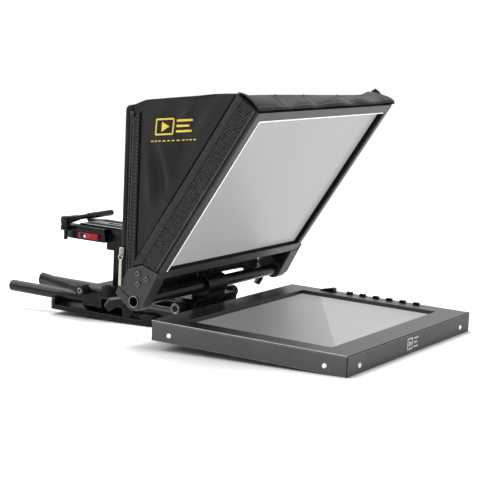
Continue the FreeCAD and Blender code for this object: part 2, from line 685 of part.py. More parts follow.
def make_arm_screws():
    screws = []
    for side in (-1, 1):
        outward = ACROSS * side
        for y, z in ARM_SCREWS:
            spot = len(screws)
            face = f"{side} * (frame_half + arm_plate)"
            shank = round_bar(f"arm_shank{spot}", "1.85", "7", f"{side} * (frame_half - 2)", y, z, outward)
            disc = round_bar(f"arm_disc{spot}", "3.7", "2.1", face, y, z, outward)
            head = soften(f"arm_head{spot}", disc, 1.5,
                          at_height(SIZES["frame_half"] + SIZES["arm_plate"] + 2.1, outward))
            key = round_bar(f"arm_key{spot}", "1.25", "2", f"{face} + {side * 0.9}", y, z, outward)
            screws.append(cut(f"arm_screw{spot}", join(f"arm_bolt{spot}", shank, head), key))
    return keep(on_mirror(group("arm_screws", screws)))


def make_thumbscrew(name, side):
    """The wing screw that pinches an arm's clamp on the hinge tube."""
    x = f"{side} * thumb_x"
    stud = round_bar(name + "_stud", "stud_r", "20", x, "-10.4", "thumb_out", ALONG)
    hub = cone(name + "_hub", "5.2", "6.2", "11", x, "-10.4", "thumb_out", -ALONG)
    wings = new_body(name + "_wings")
    outline = new_sketch(wings, "XY_Plane", "-2.7")
    draw_polygon(outline, [("-5", "-13"), ("5", "-13"), ("16", "-20"), ("17", "-31"), ("9", "-35"),
                           ("4", "-24"), ("-4", "-24"), ("-9", "-35"), ("-17", "-31"), ("-16", "-20")])
    pad(wings, outline, "5.4")
    dress(wings, "1.6", straight_along(UP))
    wings.Placement = Placement(Vector(), Rotation(ALONG, 45 * side))
    locate(wings, x, "0", "thumb_out")
    return keep(on_mirror(join(name, stud, hub, wings)))


# ---------------------------------------------------------------- hood

HOOD_SIDE = [("48.2", "frame_face - 1.5"), ("frame_high + 1.6", "frame_face - 1.5"),
             ("frame_high + 2.4", "-25.6"), ("176.8", "-139.3"), ("9.8", "-32.9"), ("26.6", "-28.6"),
             ("43", "-16.4")]


def hood_panel(name, start, points, thickness):
    panel = new_body(name)
    outline = new_sketch(panel, "YZ_Plane", start)
    draw_polygon(outline, points)
    pad(panel, outline, thickness)
    return panel


def make_hood():
    """Plain solids of the cloth panels; each is its own piece of the sewn hood."""
    keep(on_mirror(hood_panel("hood_near_side", "-hood_half - cloth", HOOD_SIDE, "cloth")))
    keep(on_mirror(hood_panel("hood_far_side", "hood_half", HOOD_SIDE, "cloth")))
    top = [("frame_high + 0.3", "frame_face - 1.5"), ("frame_high + 1.6", "frame_face - 1.5"),
           ("frame_high + 2.4", "-25.6"), ("176.8", "-139.3"), ("174.9", "-138.2"),
           ("frame_high + 0.6", "-25")]
    keep(on_mirror(hood_panel("hood_top", "-hood_half", top, "2 * hood_half")))

    sheet_solid = block("hood_back_sheet", ("-hood_half", "hood_half"), ("hood_rear - cloth", "hood_rear"),
                        ("88", "279.5"))
    opening = round_bar("lens_opening", "lens_r", "3 * cloth", "0", "hood_rear - 2 * cloth", "lens_z",
                        ALONG)
    keep(cut("hood_back", sheet_solid, opening))
    keep(block("hood_skirt", ("-140", "140"), ("hood_rear - cloth", "hood_rear"), ("60", "88")))


def make_hood_bands():
    """The hook-and-loop bands that hold the hood on the sides and top of the frame."""
    back = "frame_face - 1.5 - band_wide"
    side = [("49", "frame_face - 1.5"), ("frame_high + 1.4", "frame_face - 1.5"),
            ("frame_high + 1.4", back), ("55", back)]
    near = hood_panel("band_near", "-hood_half - cloth - band_thick", side, "band_thick")
    far = hood_panel("band_far", "hood_half + cloth", side, "band_thick")
    top = [("frame_high + 1.7", "frame_face - 1.5"), ("frame_high + 3.1", "frame_face - 1.5"),
           ("frame_high + 3.7", back), ("frame_high + 2.4", back)]
    over = hood_panel("band_top", "-hood_half - cloth", top, "2 * (hood_half + cloth)")
    return keep(on_mirror(group("hood_bands", [near, far, over])))


def make_zipper():
    """The zipper tapes along the upright back edges, and the slider with its pull."""
    tapes = []
    for number, x in enumerate(("-hood_half - cloth - 0.8", "hood_half + cloth")):
        tapes.append(block(f"tape{number}", (x, f"{x} + 0.8"), ("-123", "-113"), ("109", "279")))
    keep(group("zipper_tapes", tapes))

    face = "-hood_half - cloth - 0.8"
    shell = soften("slider_shell", block("slider_blank", (f"{face} - 3.2", f"{face} - 0.3"),
                                         around("zip_y", "3.1"), ("zip_z - 2", "zip_z + 9")),
                   1.2, straight_along(ACROSS))
    bridge = block("slider_bridge", (f"{face} - 6.2", f"{face} - 3"), around("zip_y", "0.6"),
                   ("zip_z - 1", "zip_z + 7"))
    window = block("slider_window", (f"{face} - 5", f"{face} - 3.2"), around("zip_y", "2"),
                   ("zip_z + 0.1", "zip_z + 5.8"))
    keep(join("zipper_slider", shell, cut("slider_loop", bridge, window)))

    ring = round_bar("pull_ring", "3.4", "1", f"{face} - 4.6", "zip_y", "zip_z - 2", ACROSS)
    ring_hole = round_bar("pull_eye", "2.4", "3", f"{face} - 5.6", "zip_y", "zip_z - 2", ACROSS)
    strip = soften("pull_strip", block("pull_blank", (f"{face} - 4.7", f"{face} - 3.5"),
                                       around("zip_y", "1.9"), ("zip_z - 35.5", "zip_z - 4.7")),
                   0.4, straight_along(UP))
    keep(join("zipper_pull", cut("pull_loop", ring, ring_hole), strip))


# ---------------------------------------------------------------- riser, platform, camera plate

def make_riser():
    """The rear block that slides on the rods, its shelf and the upright post."""
    body = new_body("riser_block")
    face = new_sketch(body, "XZ_Plane", "-riser_rear")
    draw_polygon(face, [("-riser_half", "clamp_bottom + 6"), ("6 - riser_half", "clamp_bottom"),
                        ("riser_half - 6", "clamp_bottom"), ("riser_half", "clamp_bottom + 6"),
                        ("riser_half", "riser_top - 2"), ("riser_half - 2", "riser_top"),
                        ("2 - riser_half", "riser_top"), ("-riser_half", "riser_top - 2")])
    pad(body, face, "riser_rear - riser_front")
    shelf = new_sketch(body, "XY_Plane", "26")
    draw_rectangle(shelf, ("-riser_half - 5", "riser_half - 8"), ("riser_front - 16", "riser_front + 1"))
    pad(body, shelf, "3")
    bores = new_sketch(body, "XZ_Plane")
    for side in ("-rod_x", "rod_x"):
        draw_circle(bores, side, "rod_z", "rod_r + slide_gap")
    pocket(body, bores)
    socket = new_sketch(body, "XY_Plane", "riser_top")
    draw_rectangle(socket, ("-post_half", "post_half"), ("post_front", "post_rear"))
    pocket(body, socket, "8")
    keep(body)

    post = new_body("riser_post")
    section = new_sketch(post, "XY_Plane", "riser_top - 8")
    draw_rectangle(section, ("-post_half", "post_half"), ("post_front", "post_rear"))
    pad(post, section, "post_top - riser_top + 8")
    groove = new_sketch(post, "XY_Plane", "riser_top")
    for side in (-1, 1):
        draw_rectangle(groove, around(f"{side * 4}", "1"), ("post_front - 1", "post_front + 1.2"))
    pocket(post, groove)
    keep(post)


def make_riser_knob():
    """The upright ribbed knob on the riser's shelf."""
    knob = knurled("riser_grip", "7.4", "13", "2.6 - riser_half", "riser_front - 8", "29.3", UP, 13)
    return keep(join("riser_knob", knob, round_bar("riser_knob_cap", "4", "14", "2.6 - riser_half",
                                                   "riser_front - 8", "29.3")))


def make_riser_lever():
    """The ratchet lever that clamps the riser on the rods."""
    start = "-riser_half - 0.3"
    blank = round_bar("riser_hub_blank", "lever_r", "lever_wide", start, "lever_y", "lever_z", -ACROSS)
    hub = soften("riser_hub", blank, 1, lambda edge: isinstance(edge.Curve, Part.Circle))
    rise = Rotation(ACROSS, 7).multVec(ALONG)
    middle = "-riser_half - lever_wide + 6.4"
    neck = cone("riser_neck", "6.2", "4.4", "20", middle, "lever_y", "lever_z", rise)
    grip = cone("riser_taper", "4.4", "5.9", "16", middle, f"lever_y + {19.5 * rise.y}",
                f"lever_z + {19.5 * rise.z}", rise)
    tip = soften("riser_tip", round_bar("riser_tip_blank", "5.9", "lever_reach - 35", middle,
                                        f"lever_y + {35 * rise.y}", f"lever_z + {35 * rise.z}", rise), 1.2,
                 lambda edge: isinstance(edge.Curve, Part.Circle) and edge.CenterOfMass.y > 80)
    end = "-riser_half - lever_wide"
    recess = round_bar("riser_recess", "4.3", "4", f"{end} + 3.2", "lever_y", "lever_z", -ACROSS)
    keep(cut("riser_lever", join("riser_lever_solid", hub, neck, grip, tip), recess))
    head = round_bar("lever_bolt_head", "4.0", "2.6", f"{end} + 3.1", "lever_y", "lever_z", -ACROSS)
    key = round_bar("lever_bolt_key", "1.8", "2", f"{end} + 2.1", "lever_y", "lever_z", -ACROSS)
    keep(cut("lever_bolt", head, key))


def draw_head_plan(drawing, half):
    """The head's plan without its round end: a broad rear part and a narrower neck in front."""
    draw_polygon(drawing, [(f"-({half})", "head_front"), ("-neck_half", "head_front"),
                           ("-neck_half", "neck_front"), ("neck_half", "neck_front"),
                           ("neck_half", "head_front"), (half, "head_front"), (half, "head_round_y"),
                           (f"-({half})", "head_round_y")])


def make_platform():
    """The platform: a round-ended head with a channel for the camera plate, and its collar."""
    head = new_body("platform_head")
    layers = (("head_bottom", "head_half - 1.5", "head_split - head_bottom"),
              ("head_split", "head_half", "head_top - head_split"))
    for level, half, thick in layers:
        plan = new_sketch(head, "XY_Plane", level)
        draw_head_plan(plan, half)
        pad(head, plan, thick)
        end = new_sketch(head, "XY_Plane", level)
        draw_circle(end, "0", "head_round_y", half)
        pad(head, end, thick)
    ear_end = new_sketch(head, "XY_Plane", "head_split")
    draw_circle(ear_end, "pivot_x", "pivot_y", "7")
    pad(head, ear_end, "head_top - head_split")
    ear_root = new_sketch(head, "XY_Plane", "head_split")
    draw_rectangle(ear_root, ("pivot_x", "8 - head_half"), around("pivot_y", "7"))
    pad(head, ear_root, "head_top - head_split")
    channel = new_sketch(head, "XZ_Plane")
    draw_polygon(channel, [("-channel_half", "head_top - channel_drop"),
                           ("channel_half", "head_top - channel_drop"),
                           ("channel_half - 3", "head_top + 1"), ("3 - channel_half", "head_top + 1")])
    pocket(head, channel)
    collar = new_sketch(head, "XY_Plane", "head_bottom - 12")
    draw_rectangle(collar, ("-16", "16"), ("0", "20"))
    pad(head, collar, "12.5")
    slot = new_sketch(head, "XY_Plane", "head_top - channel_drop - 1.5")
    draw_rectangle(slot, ("-post_half - fit_gap", "post_half + fit_gap"),
                   ("post_front - fit_gap", "post_rear + fit_gap"))
    pocket(head, slot, "30")
    pin_hole = new_sketch(head, "XY_Plane", "head_top")
    draw_circle(pin_hole, "pivot_x", "pivot_y", "2.58")
    pocket(head, pin_hole)
    keep(head)


def make_height_knob():
    """The knob on the collar that locks the platform at its height on the post."""
    boss = round_bar("height_boss", "4", "4", "16.3", "10", "head_bottom - 7.4", ACROSS)
    grip = knurled("height_grip", "7", "11", "19", "10", "head_bottom - 7.4", ACROSS, 18)
    return keep(join("height_knob", boss, grip))


def make_camera_plate():
    """The sliding camera plate, its rubber strips, and the camera screw in its slot."""
    plate = new_body("camera_plate")
    end = new_sketch(plate, "XZ_Plane", "-plate_rear")
    draw_polygon(end, [("0.4 - channel_half", "head_top - channel_drop + 0.3"),
                       ("channel_half - 0.4", "head_top - channel_drop + 0.3"),
                       ("channel_half - 3.4", "head_top + 0.4"), ("channel_half + 1", "head_top + 0.4"),
                       ("channel_half + 1", "plate_top"), ("-channel_half - 1", "plate_top"),
                       ("-channel_half - 1", "head_top + 0.4"), ("3.4 - channel_half", "head_top + 0.4")])
    pad(plate, end, "plate_rear - plate_front")
    slot = new_sketch(plate, "XY_Plane")
    draw_rectangle(slot, ("-3.4", "3.4"), ("-38", "30"))
    pocket(plate, slot)
    recess = new_sketch(plate, "XY_Plane", "head_top - 1.4")
    draw_rectangle(recess, ("-9", "9"), ("-46", "38"))
    pocket(plate, recess, "20")
    grooves = new_sketch(plate, "XY_Plane", "plate_top")
    for side in (-1, 1):
        draw_rectangle(grooves, around(f"{side * 15}", "6"), ("plate_front + 6", "plate_rear - 6"))
    pocket(plate, grooves, "0.8")
    keep(plate)
    strips = [block(f"pad_strip{number}", (f"{side * 15} - 5.8", f"{side * 15} + 5.8"),
                    ("plate_front + 6.2", "plate_rear - 6.2"),
                    ("plate_top - 0.8", "plate_top + 0.4")) for number, side in enumerate((-1, 1))]
    keep(group("plate_pads", strips))

    neck = round_bar("camera_neck", "2.4", "8", "0", "-14", "head_top - 4")
    shank = round_bar("camera_shank", "3.1", "8.4", "0", "-14", "plate_top + 0.6")
    head = soften("camera_head", round_bar("camera_disc", "8", "3", "0", "-14", "head_top - 6"), 0.6,
                  lambda edge: isinstance(edge.Curve, Part.Circle), chamfer=True)
    slit = block("camera_slit", ("-8", "8"), ("-14.7", "-13.3"), ("head_top - 6.1", "head_top - 4.8"))
    keep(cut("camera_screw", join("camera_bolt", neck, shank, head), slit))


def make_plate_lever():
    """The locking lever that lies across the rear of the platform, on its pivot pin."""
    level = "head_top + 7.2"
    pin = round_bar("lever_pin", "2.5", "22", "pivot_x", "pivot_y", "head_bottom - 1")
    post = round_bar("lever_post", "6", "11", "pivot_x", "pivot_y", "head_top + 0.3")
    root = soften("lever_root", post, 1.2, at_height(SIZES["head_top"] + 11.3))
    arm = round_bar("lever_arm", "3.1", "46", "pivot_x", "pivot_y", level, ACROSS)
    handle = round_bar("lever_handle", "4", "52", "pivot_x + 44", "pivot_y", level, ACROSS)
    tip = soften("lever_tip", handle, 0.9, lambda edge: isinstance(edge.Curve, Part.Circle), chamfer=True)
    return keep(join("plate_lever", pin, root, arm, tip))


def make_safety_catch():
    """The red sliding catch on the near side of the platform, with its index dot."""
    face = "1.2 - head_half"
    slider = soften("catch_slider", block("catch_blank", (f"{face} - 1.9", face), ("18", "50"),
                                          ("head_bottom + 2.4", "head_bottom + 9.6")), 0.5,
                    at_height(-SIZES["head_half"] - 0.7, ACROSS))
    ribs = [block(f"catch_rib{step}", (f"{face} - 2.7", f"{face} - 1.6"),
                  (f"{19.6 + step * 2.6}", f"{20.9 + step * 2.6}"),
                  ("head_bottom + 3.2", "head_bottom + 8.8"))
            for step in range(5)]
    return keep(join("safety_catch", slider, *ribs))


# ---------------------------------------------------------------- build and write

make_base()
make_rod("rod_near", "-rod_x")
make_rod("rod_far", "rod_x")
make_rod_plugs()
make_monitor_tray()
make_monitor_bezel()
make_screen()
make_driver_board()
make_monitor_inputs()
make_case_screws()
key_names = ("key_menu", "key_plus", "key_minus", "key_source", "key_flip", "key_auto")
for number, key_name in enumerate(key_names):
    make_button(key_name, number)
make_rocker()
make_rod_bracket()
make_tube_holder()
make_hinge_tube()
make_monitor_bar()
make_front_knob()
make_tube_knob()
make_frame()
make_mirror()
make_arm("arm_near", -1)
make_arm("arm_far", 1)
make_hinge_blocks()
make_arm_screws()
make_thumbscrew("thumbscrew_near", -1)
make_thumbscrew("thumbscrew_far", 1)
make_hood()
make_hood_bands()
make_zipper()
make_riser()
make_riser_knob()
make_riser_lever()
make_platform()
make_height_knob()
make_camera_plate()
make_plate_lever()
make_safety_catch()
doc.recompute()

failed = [item.Name for item in doc.Objects if {"Invalid", "Error"} & set(item.State)]
if failed:
    raise ValueError(f"objects failed: {failed}")
for item in finished:
    if item.Shape.isNull() or not item.Shape.isValid() or not item.Shape.Solids:
        raise ValueError(f"{item.Label} has no valid shape")
os.makedirs("parts", exist_ok=True)
for item in finished:
    item.Shape.exportStep(f"parts/{item.Label}.step")
print(len(finished), "sub-parts written")
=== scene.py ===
"""Looks of a rod-mounted teleprompter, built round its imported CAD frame."""

import json
import math

import bpy
from mathutils import Matrix, Vector, noise


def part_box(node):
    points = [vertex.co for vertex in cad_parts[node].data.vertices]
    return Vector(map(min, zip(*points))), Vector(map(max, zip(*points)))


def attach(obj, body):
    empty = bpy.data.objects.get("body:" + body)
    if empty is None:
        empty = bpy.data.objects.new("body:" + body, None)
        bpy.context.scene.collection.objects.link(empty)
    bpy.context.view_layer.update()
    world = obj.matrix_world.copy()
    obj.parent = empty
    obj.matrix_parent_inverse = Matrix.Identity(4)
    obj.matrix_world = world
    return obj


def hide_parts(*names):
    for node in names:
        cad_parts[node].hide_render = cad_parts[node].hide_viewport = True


MM = 0.001
ACROSS, ALONG, UP = Vector((1, 0, 0)), Vector((0, 1, 0)), Vector((0, 0, 1))
TILT = math.radians(57.5)  # the glass at rest, over the floor

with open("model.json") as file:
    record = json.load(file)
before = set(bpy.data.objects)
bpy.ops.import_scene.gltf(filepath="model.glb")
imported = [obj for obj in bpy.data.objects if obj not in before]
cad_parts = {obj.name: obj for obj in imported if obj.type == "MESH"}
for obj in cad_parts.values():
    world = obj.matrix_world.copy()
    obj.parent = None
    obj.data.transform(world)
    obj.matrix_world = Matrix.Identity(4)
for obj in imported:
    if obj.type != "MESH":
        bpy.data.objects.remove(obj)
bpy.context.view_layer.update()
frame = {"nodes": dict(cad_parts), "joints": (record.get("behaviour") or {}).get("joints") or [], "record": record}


def joint_place(name):
    """A point on a joint's axis, with the object at rest."""
    return Vector(next(joint for joint in frame["joints"] if joint["name"] == name)["pos_m"])


hinge = joint_place("mirror_tilt")
up_glass = Vector((0, -math.cos(TILT), math.sin(TILT)))
out_of_glass = Vector((0, -math.sin(TILT), -math.cos(TILT)))
side_low, side_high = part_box("hood_near_side")
HOOD_X = -side_low.x
BACK_Y = side_high.y
HOOD_FOOT = side_low.z
RIB_PITCH = 3.1 * MM  # of the hook-and-loop bands
SIDES = (("near", -1), ("far", 1))


def on_mirror(x, up, out):
    """A point from its mirror directions: x in metres, the others in mm."""
    return Vector((x, hinge.y, hinge.z)) + up_glass * (up * MM) + out_of_glass * (out * MM)


# ---- node helpers

WAVE_PERIOD = 0.314  # the length of one wave of the wave texture at scale 1


class Material:
    """A node material with short calls for the nodes that the pieces share."""

    def __init__(self, name, color, roughness, metallic=0.0, **sockets):
        self.made = bpy.data.materials.new(name)
        self.made.use_nodes = True
        self.nodes = self.made.node_tree.nodes
        self.links = self.made.node_tree.links
        self.shader = self.nodes["Principled BSDF"]
        self.set("Base Color", (*color, 1))
        self.set("Roughness", roughness)
        self.set("Metallic", metallic)
        for socket, amount in sockets.items():
            self.set(socket.replace("_", " "), amount)

    def set(self, socket, amount):
        self.shader.inputs[socket].default_value = amount

    def add(self, kind, **settings):
        node = self.nodes.new("ShaderNode" + kind)
        for name, value in settings.items():
            if name in node.inputs:
                node.inputs[name].default_value = value
            else:
                setattr(node, name, value)
        return node

    def link(self, start, end):
        self.links.new(start, end)

    def place(self, source="Object", scale=(1, 1, 1)):
        """Texture coordinates, in metres times scale."""
        where = self.add("TexCoord")
        mapping = self.add("Mapping", Scale=scale)
        self.link(where.outputs[source], mapping.inputs["Vector"])
        return mapping.outputs["Vector"]

    def noise(self, scale, detail=4.0, stretch=(1, 1, 1)):
        node = self.add("TexNoise", Scale=scale, Detail=detail)
        self.link(self.place(scale=stretch), node.inputs["Vector"])
        return node.outputs["Fac"]

    def wave(self, direction, pitch, distortion=0.0):
        """Parallel ribs with the given pitch in metres, over the cloth's flat places."""
        node = self.add("TexWave", bands_direction=direction, Scale=WAVE_PERIOD / pitch,
                        Distortion=distortion)
        self.link(self.place("UV"), node.inputs["Vector"])
        return node.outputs["Fac"]

    def ramp(self, value, low, high, out_low=0.0, out_high=1.0):
        node = self.add("MapRange")
        for name, amount in (("From Min", low), ("From Max", high),
                             ("To Min", out_low), ("To Max", out_high)):
            node.inputs[name].default_value = amount
        self.link(value, node.inputs["Value"])
        return node.outputs["Result"]

    def math(self, operation, first, second):
        node = self.add("Math", operation=operation)
        for socket, value in zip(node.inputs, (first, second)):
            if isinstance(value, (int, float)):
                socket.default_value = value
            else:
                self.link(value, socket)
        return node.outputs["Value"]

    def mix(self, factor, first, second):
        """A colour mix of two colours or colour outputs."""
        node = self.add("Mix", data_type="RGBA")
        sockets = (node.inputs[0], node.inputs[6], node.inputs[7])
        for socket, value in zip(sockets, (factor, first, second)):
            if isinstance(value, (int, float)):
                socket.default_value = value
            elif isinstance(value, tuple):
                socket.default_value = (*value, 1)
            else:
                self.link(value, socket)
        return node.outputs[2]

    def paint(self, color):
        """A colour output becomes the surface's colour."""
        self.link(color, self.shader.inputs["Base Color"])

    def vary_roughness(self, cloud, low, high):
        """Roughness that follows a noise between two levels."""
        self.link(self.ramp(cloud, 0.3, 0.7, low, high), self.shader.inputs["Roughness"])

    def bump(self, height, distance, strength=1.0):
        """Bumps, added to any that the shader already has."""
        node = self.add("Bump", Strength=strength, Distance=distance)
        self.link(height, node.inputs["Height"])
        normal = self.shader.inputs["Normal"]
        if normal.is_linked:
            self.link(normal.links[0].from_socket, node.inputs["Normal"])
        self.link(node.outputs["Normal"], normal)

    def rounded_edges(self, radius):
        """Edges catch the light as if they were broken by this radius."""
        node = self.add("Bevel", samples=6, Radius=radius)
        self.link(node.outputs["Normal"], self.shader.inputs["Normal"])
        return node.outputs["Normal"]

    def edge_highlight_mask(self, rounded):
        """1 on the edges, where a painted highlight goes, and 0 on flat faces."""
        geometry = self.add("NewGeometry")
        dot = self.add("VectorMath", operation="DOT_PRODUCT")
        self.link(rounded, dot.inputs[0])
        self.link(geometry.outputs["Normal"], dot.inputs[1])
        return self.ramp(dot.outputs["Value"], 0.995, 0.82)


def grey(level):
    return (level, level, level)


def scaled(color, factor):
    return tuple(min(1.0, part * factor) for part in color)


def coated_metal(name, color, roughness, grain, edge=0.6, metallic=0.0, radius=0.5, mottle=0.12,
                 gloss=0.3, depth=0.03, glint=0.03):
    """Paint or anodising: fine grain, slight mottling, and a painted highlight: a lighter line on the edges."""
    made = Material(name, color, roughness, metallic)
    made.set("Specular IOR Level", gloss)
    cloud = made.noise(28, 3)
    body = made.mix(cloud, scaled(color, 1 - mottle), scaled(color, 1 + mottle))
    if edge:
        mask = made.edge_highlight_mask(made.rounded_edges(radius * MM))
        # Painted highlight: the edges get a lighter colour, as if they caught the light.
        edge_highlight = tuple(2 * part + glint for part in color)
        body = made.mix(made.math("MULTIPLY", mask, edge), body, edge_highlight)
    made.paint(body)
    made.vary_roughness(made.noise(700, 3), roughness - 0.02, roughness + 0.04)
    if depth:
        made.bump(made.noise(grain, 2), depth * MM, 0.35)
    return made


def moulded(name, color, roughness, grain=1600, radius=0.4, gloss=0.3):
    """Moulded plastic or rubber with a fine spark finish, and a painted highlight on its edges."""
    made = Material(name, color, roughness)
    made.set("Specular IOR Level", gloss)
    mask = made.edge_highlight_mask(made.rounded_edges(radius * MM))
    cloud = made.noise(40, 4)
    body = made.mix(cloud, scaled(color, 0.85), scaled(color, 1.15))
    # Painted highlight: a lighter colour on the edges.
    edge_highlight = tuple(1.6 * part + 0.03 for part in color)
    made.paint(made.mix(made.math("MULTIPLY", mask, 0.7), body, edge_highlight))
    made.vary_roughness(made.noise(220, 5), roughness - 0.06, roughness + 0.06)
    made.bump(made.noise(grain, 2), 0.015 * MM, 0.4)
    return made


def turned_steel(name, color, roughness):
    """Plated or turned steel with fine machining lines, and painted shade that makes it dark inside its recesses.
    """
    made = Material(name, color, roughness, 1.0)
    made.rounded_edges(0.25 * MM)
    # Painted shade: ambient occlusion darkens the colour in recesses such as screw sockets.
    recess_shade = made.add("AmbientOcclusion", Distance=1.6 * MM, samples=8, only_local=True)
    body = made.mix(made.noise(320, 3), scaled(color, 0.8), scaled(color, 1.1))
    made.paint(made.mix(made.ramp(recess_shade.outputs["AO"], 0.35, 0.85), grey(0.01), body))
    made.vary_roughness(made.noise(90, 4, stretch=(1, 1, 8)), roughness - 0.06, roughness + 0.1)
    made.bump(made.noise(900, 2, stretch=(1, 6, 1)), 0.02 * MM, 0.4)
    return made


def woven(name, color, pitch, roughness=0.62, sheen=0.12, depth=0.06, cloud=0.2, gloss=0.22):
    """Plain-woven cloth in UV metres: warp over weft, with a faint coating."""
    made = Material(name, color, roughness, Sheen_Weight=sheen, Sheen_Roughness=0.4)
    made.set("Specular IOR Level", gloss)
    warp = made.wave("X", pitch)
    weft = made.wave("Y", pitch)
    threads = made.math("MULTIPLY", warp, weft)
    blotch = made.noise(22, 5)
    body = made.mix(made.ramp(blotch, 0.3, 0.7), scaled(color, 1 - cloud), scaled(color, 1 + cloud))
    made.paint(made.mix(made.math("MULTIPLY", threads, 0.5), body, scaled(color, 2.2)))
    made.vary_roughness(made.noise(60, 4), roughness - 0.06, roughness + 0.1)
    made.bump(made.noise(160, 5), 0.25 * MM, 0.3)
    made.bump(threads, depth * MM, 0.8)
    return made


def plate_with_shaded_sides():
    """A satin plate with painted shade: faces that don't face up are made near black, so the top reads lighter
    than the sides.
    """
    made = coated_metal("satin_plate", (0.3, 0.305, 0.31), 0.3, 700, 0.4, 0.9, depth=0)
    plate_colour = made.shader.inputs["Base Color"].links[0].from_socket
    # Painted shade: the colour goes near black on faces whose normal turns away from up.
    upward = made.add("VectorMath", operation="DOT_PRODUCT")
    upward.inputs[1].default_value = UP
    made.link(made.add("TexCoord").outputs["Normal"], upward.inputs[0])
    made.paint(made.mix(made.ramp(upward.outputs["Value"], 0.8, 0.95), grey(0.008), plate_colour))
    return made


def glowing_highlight_bead():
    """A painted highlight that glows: a pale bead that stands for the light line along an edge."""
    made = moulded("painted_edge_highlight", (0.85, 0.86, 0.85), 0.25)
    # The emission makes the bead glow though it is no lamp.
    made.set("Emission Color", (1, 1, 1, 1))
    made.set("Emission Strength", 0.45)
    return made


def hook_band():
    """Hook-and-loop webbing: cross ribs with tiny loops, with painted light on the ribs and painted shade in the
    gaps between them.
    """
    made = Material("hook_band_webbing", grey(0.012), 0.65, Sheen_Weight=0.03, Sheen_Roughness=0.5)
    made.set("Specular IOR Level", 0.2)
    ribs = made.ramp(made.wave("Y", RIB_PITCH, distortion=0.6), 0.35, 0.75)
    loops = made.wave("X", 1.2 * MM, distortion=0.8)
    fuzz = made.noise(420, 3)
    # Painted light and shade: the raised ribs and loops get a lighter colour, the gaps between them near black.
    grain = made.math("MULTIPLY", ribs, made.ramp(fuzz, 0.35, 0.65, 0.25, 1))
    made.paint(made.mix(grain, grey(0.0012), (0.07, 0.07, 0.067)))
    made.bump(ribs, 0.3 * MM, 0.9)
    made.bump(made.math("MULTIPLY", loops, fuzz), 0.2 * MM, 0.6)
    return made


def coated_glass():
    """Part-silvered glass: the front face is pale and glows weakly, which is a painted reflection; the rest is
    clear.
    """
    made = Material("beamsplitter_coating", (0.13, 0.13, 0.131), 0.3, 0.08)
    made.set("Specular IOR Level", 0.2)
    streak = made.noise(7, 3, stretch=(1.6, 0.35, 0.35))
    made.paint(made.mix(made.ramp(streak, 0.35, 0.65), (0.125, 0.125, 0.126), (0.14, 0.14, 0.141)))
    # Painted reflection: the weak glow stands in for the pale grey that the coating reflects.
    made.set("Emission Color", (0.5, 0.5, 0.5, 1))
    made.set("Emission Strength", 0.6)
    clear = made.add("BsdfPrincipled", Roughness=0.01, Alpha=0.1)
    clear.inputs["Base Color"].default_value = (0.75, 0.82, 0.8, 1)
    where = made.add("TexCoord")
    facing = made.add("VectorMath", operation="DOT_PRODUCT")
    facing.inputs[1].default_value = out_of_glass
    made.link(where.outputs["Normal"], facing.inputs[0])
    both = made.add("MixShader")
    made.link(made.ramp(facing.outputs["Value"], 0.5, 0.9), both.inputs["Fac"])
    made.link(clear.outputs["BSDF"], both.inputs[1])
    made.link(made.shader.outputs["BSDF"], both.inputs[2])
    made.link(both.outputs["Shader"], made.nodes["Material Output"].inputs["Surface"])
    return made


def lit_screen():
    """The lit monitor: a grey glow that brightens towards a diagonal, a painted reflection, and a brighter plain
    painted highlight beyond it.
    """
    made = Material("screen_glass", (0.02, 0.02, 0.021), 0.3)
    made.set("Specular IOR Level", 0.03)
    made.set("Emission Color", (1, 1, 1, 1))
    normal_x, normal_y = -0.543, 0.84
    start_x, start_y = -0.0475, -0.332
    fade = 0.085
    across = made.add("VectorMath", operation="DOT_PRODUCT")
    across.inputs[1].default_value = (normal_x, normal_y, 0)
    made.link(made.place(), across.inputs[0])
    behind = made.math("SUBTRACT", across.outputs["Value"], normal_x * start_x + normal_y * start_y)
    shade = made.ramp(behind, 0.0, fade, 0.38, 0.18)
    # Painted highlight: past the diagonal the screen glows brighter, as a gloss reflection would.
    painted_gloss = made.ramp(made.noise(9, 3), 0.3, 0.7, 0.46, 0.5)
    beyond = made.ramp(behind, 0.0008, -0.0008)
    both = made.add("Mix")
    for socket, value in zip((0, 2, 3), (beyond, shade, painted_gloss)):
        made.link(value, both.inputs[socket])
    made.link(both.outputs[0], made.shader.inputs["Emission Strength"])
    return made


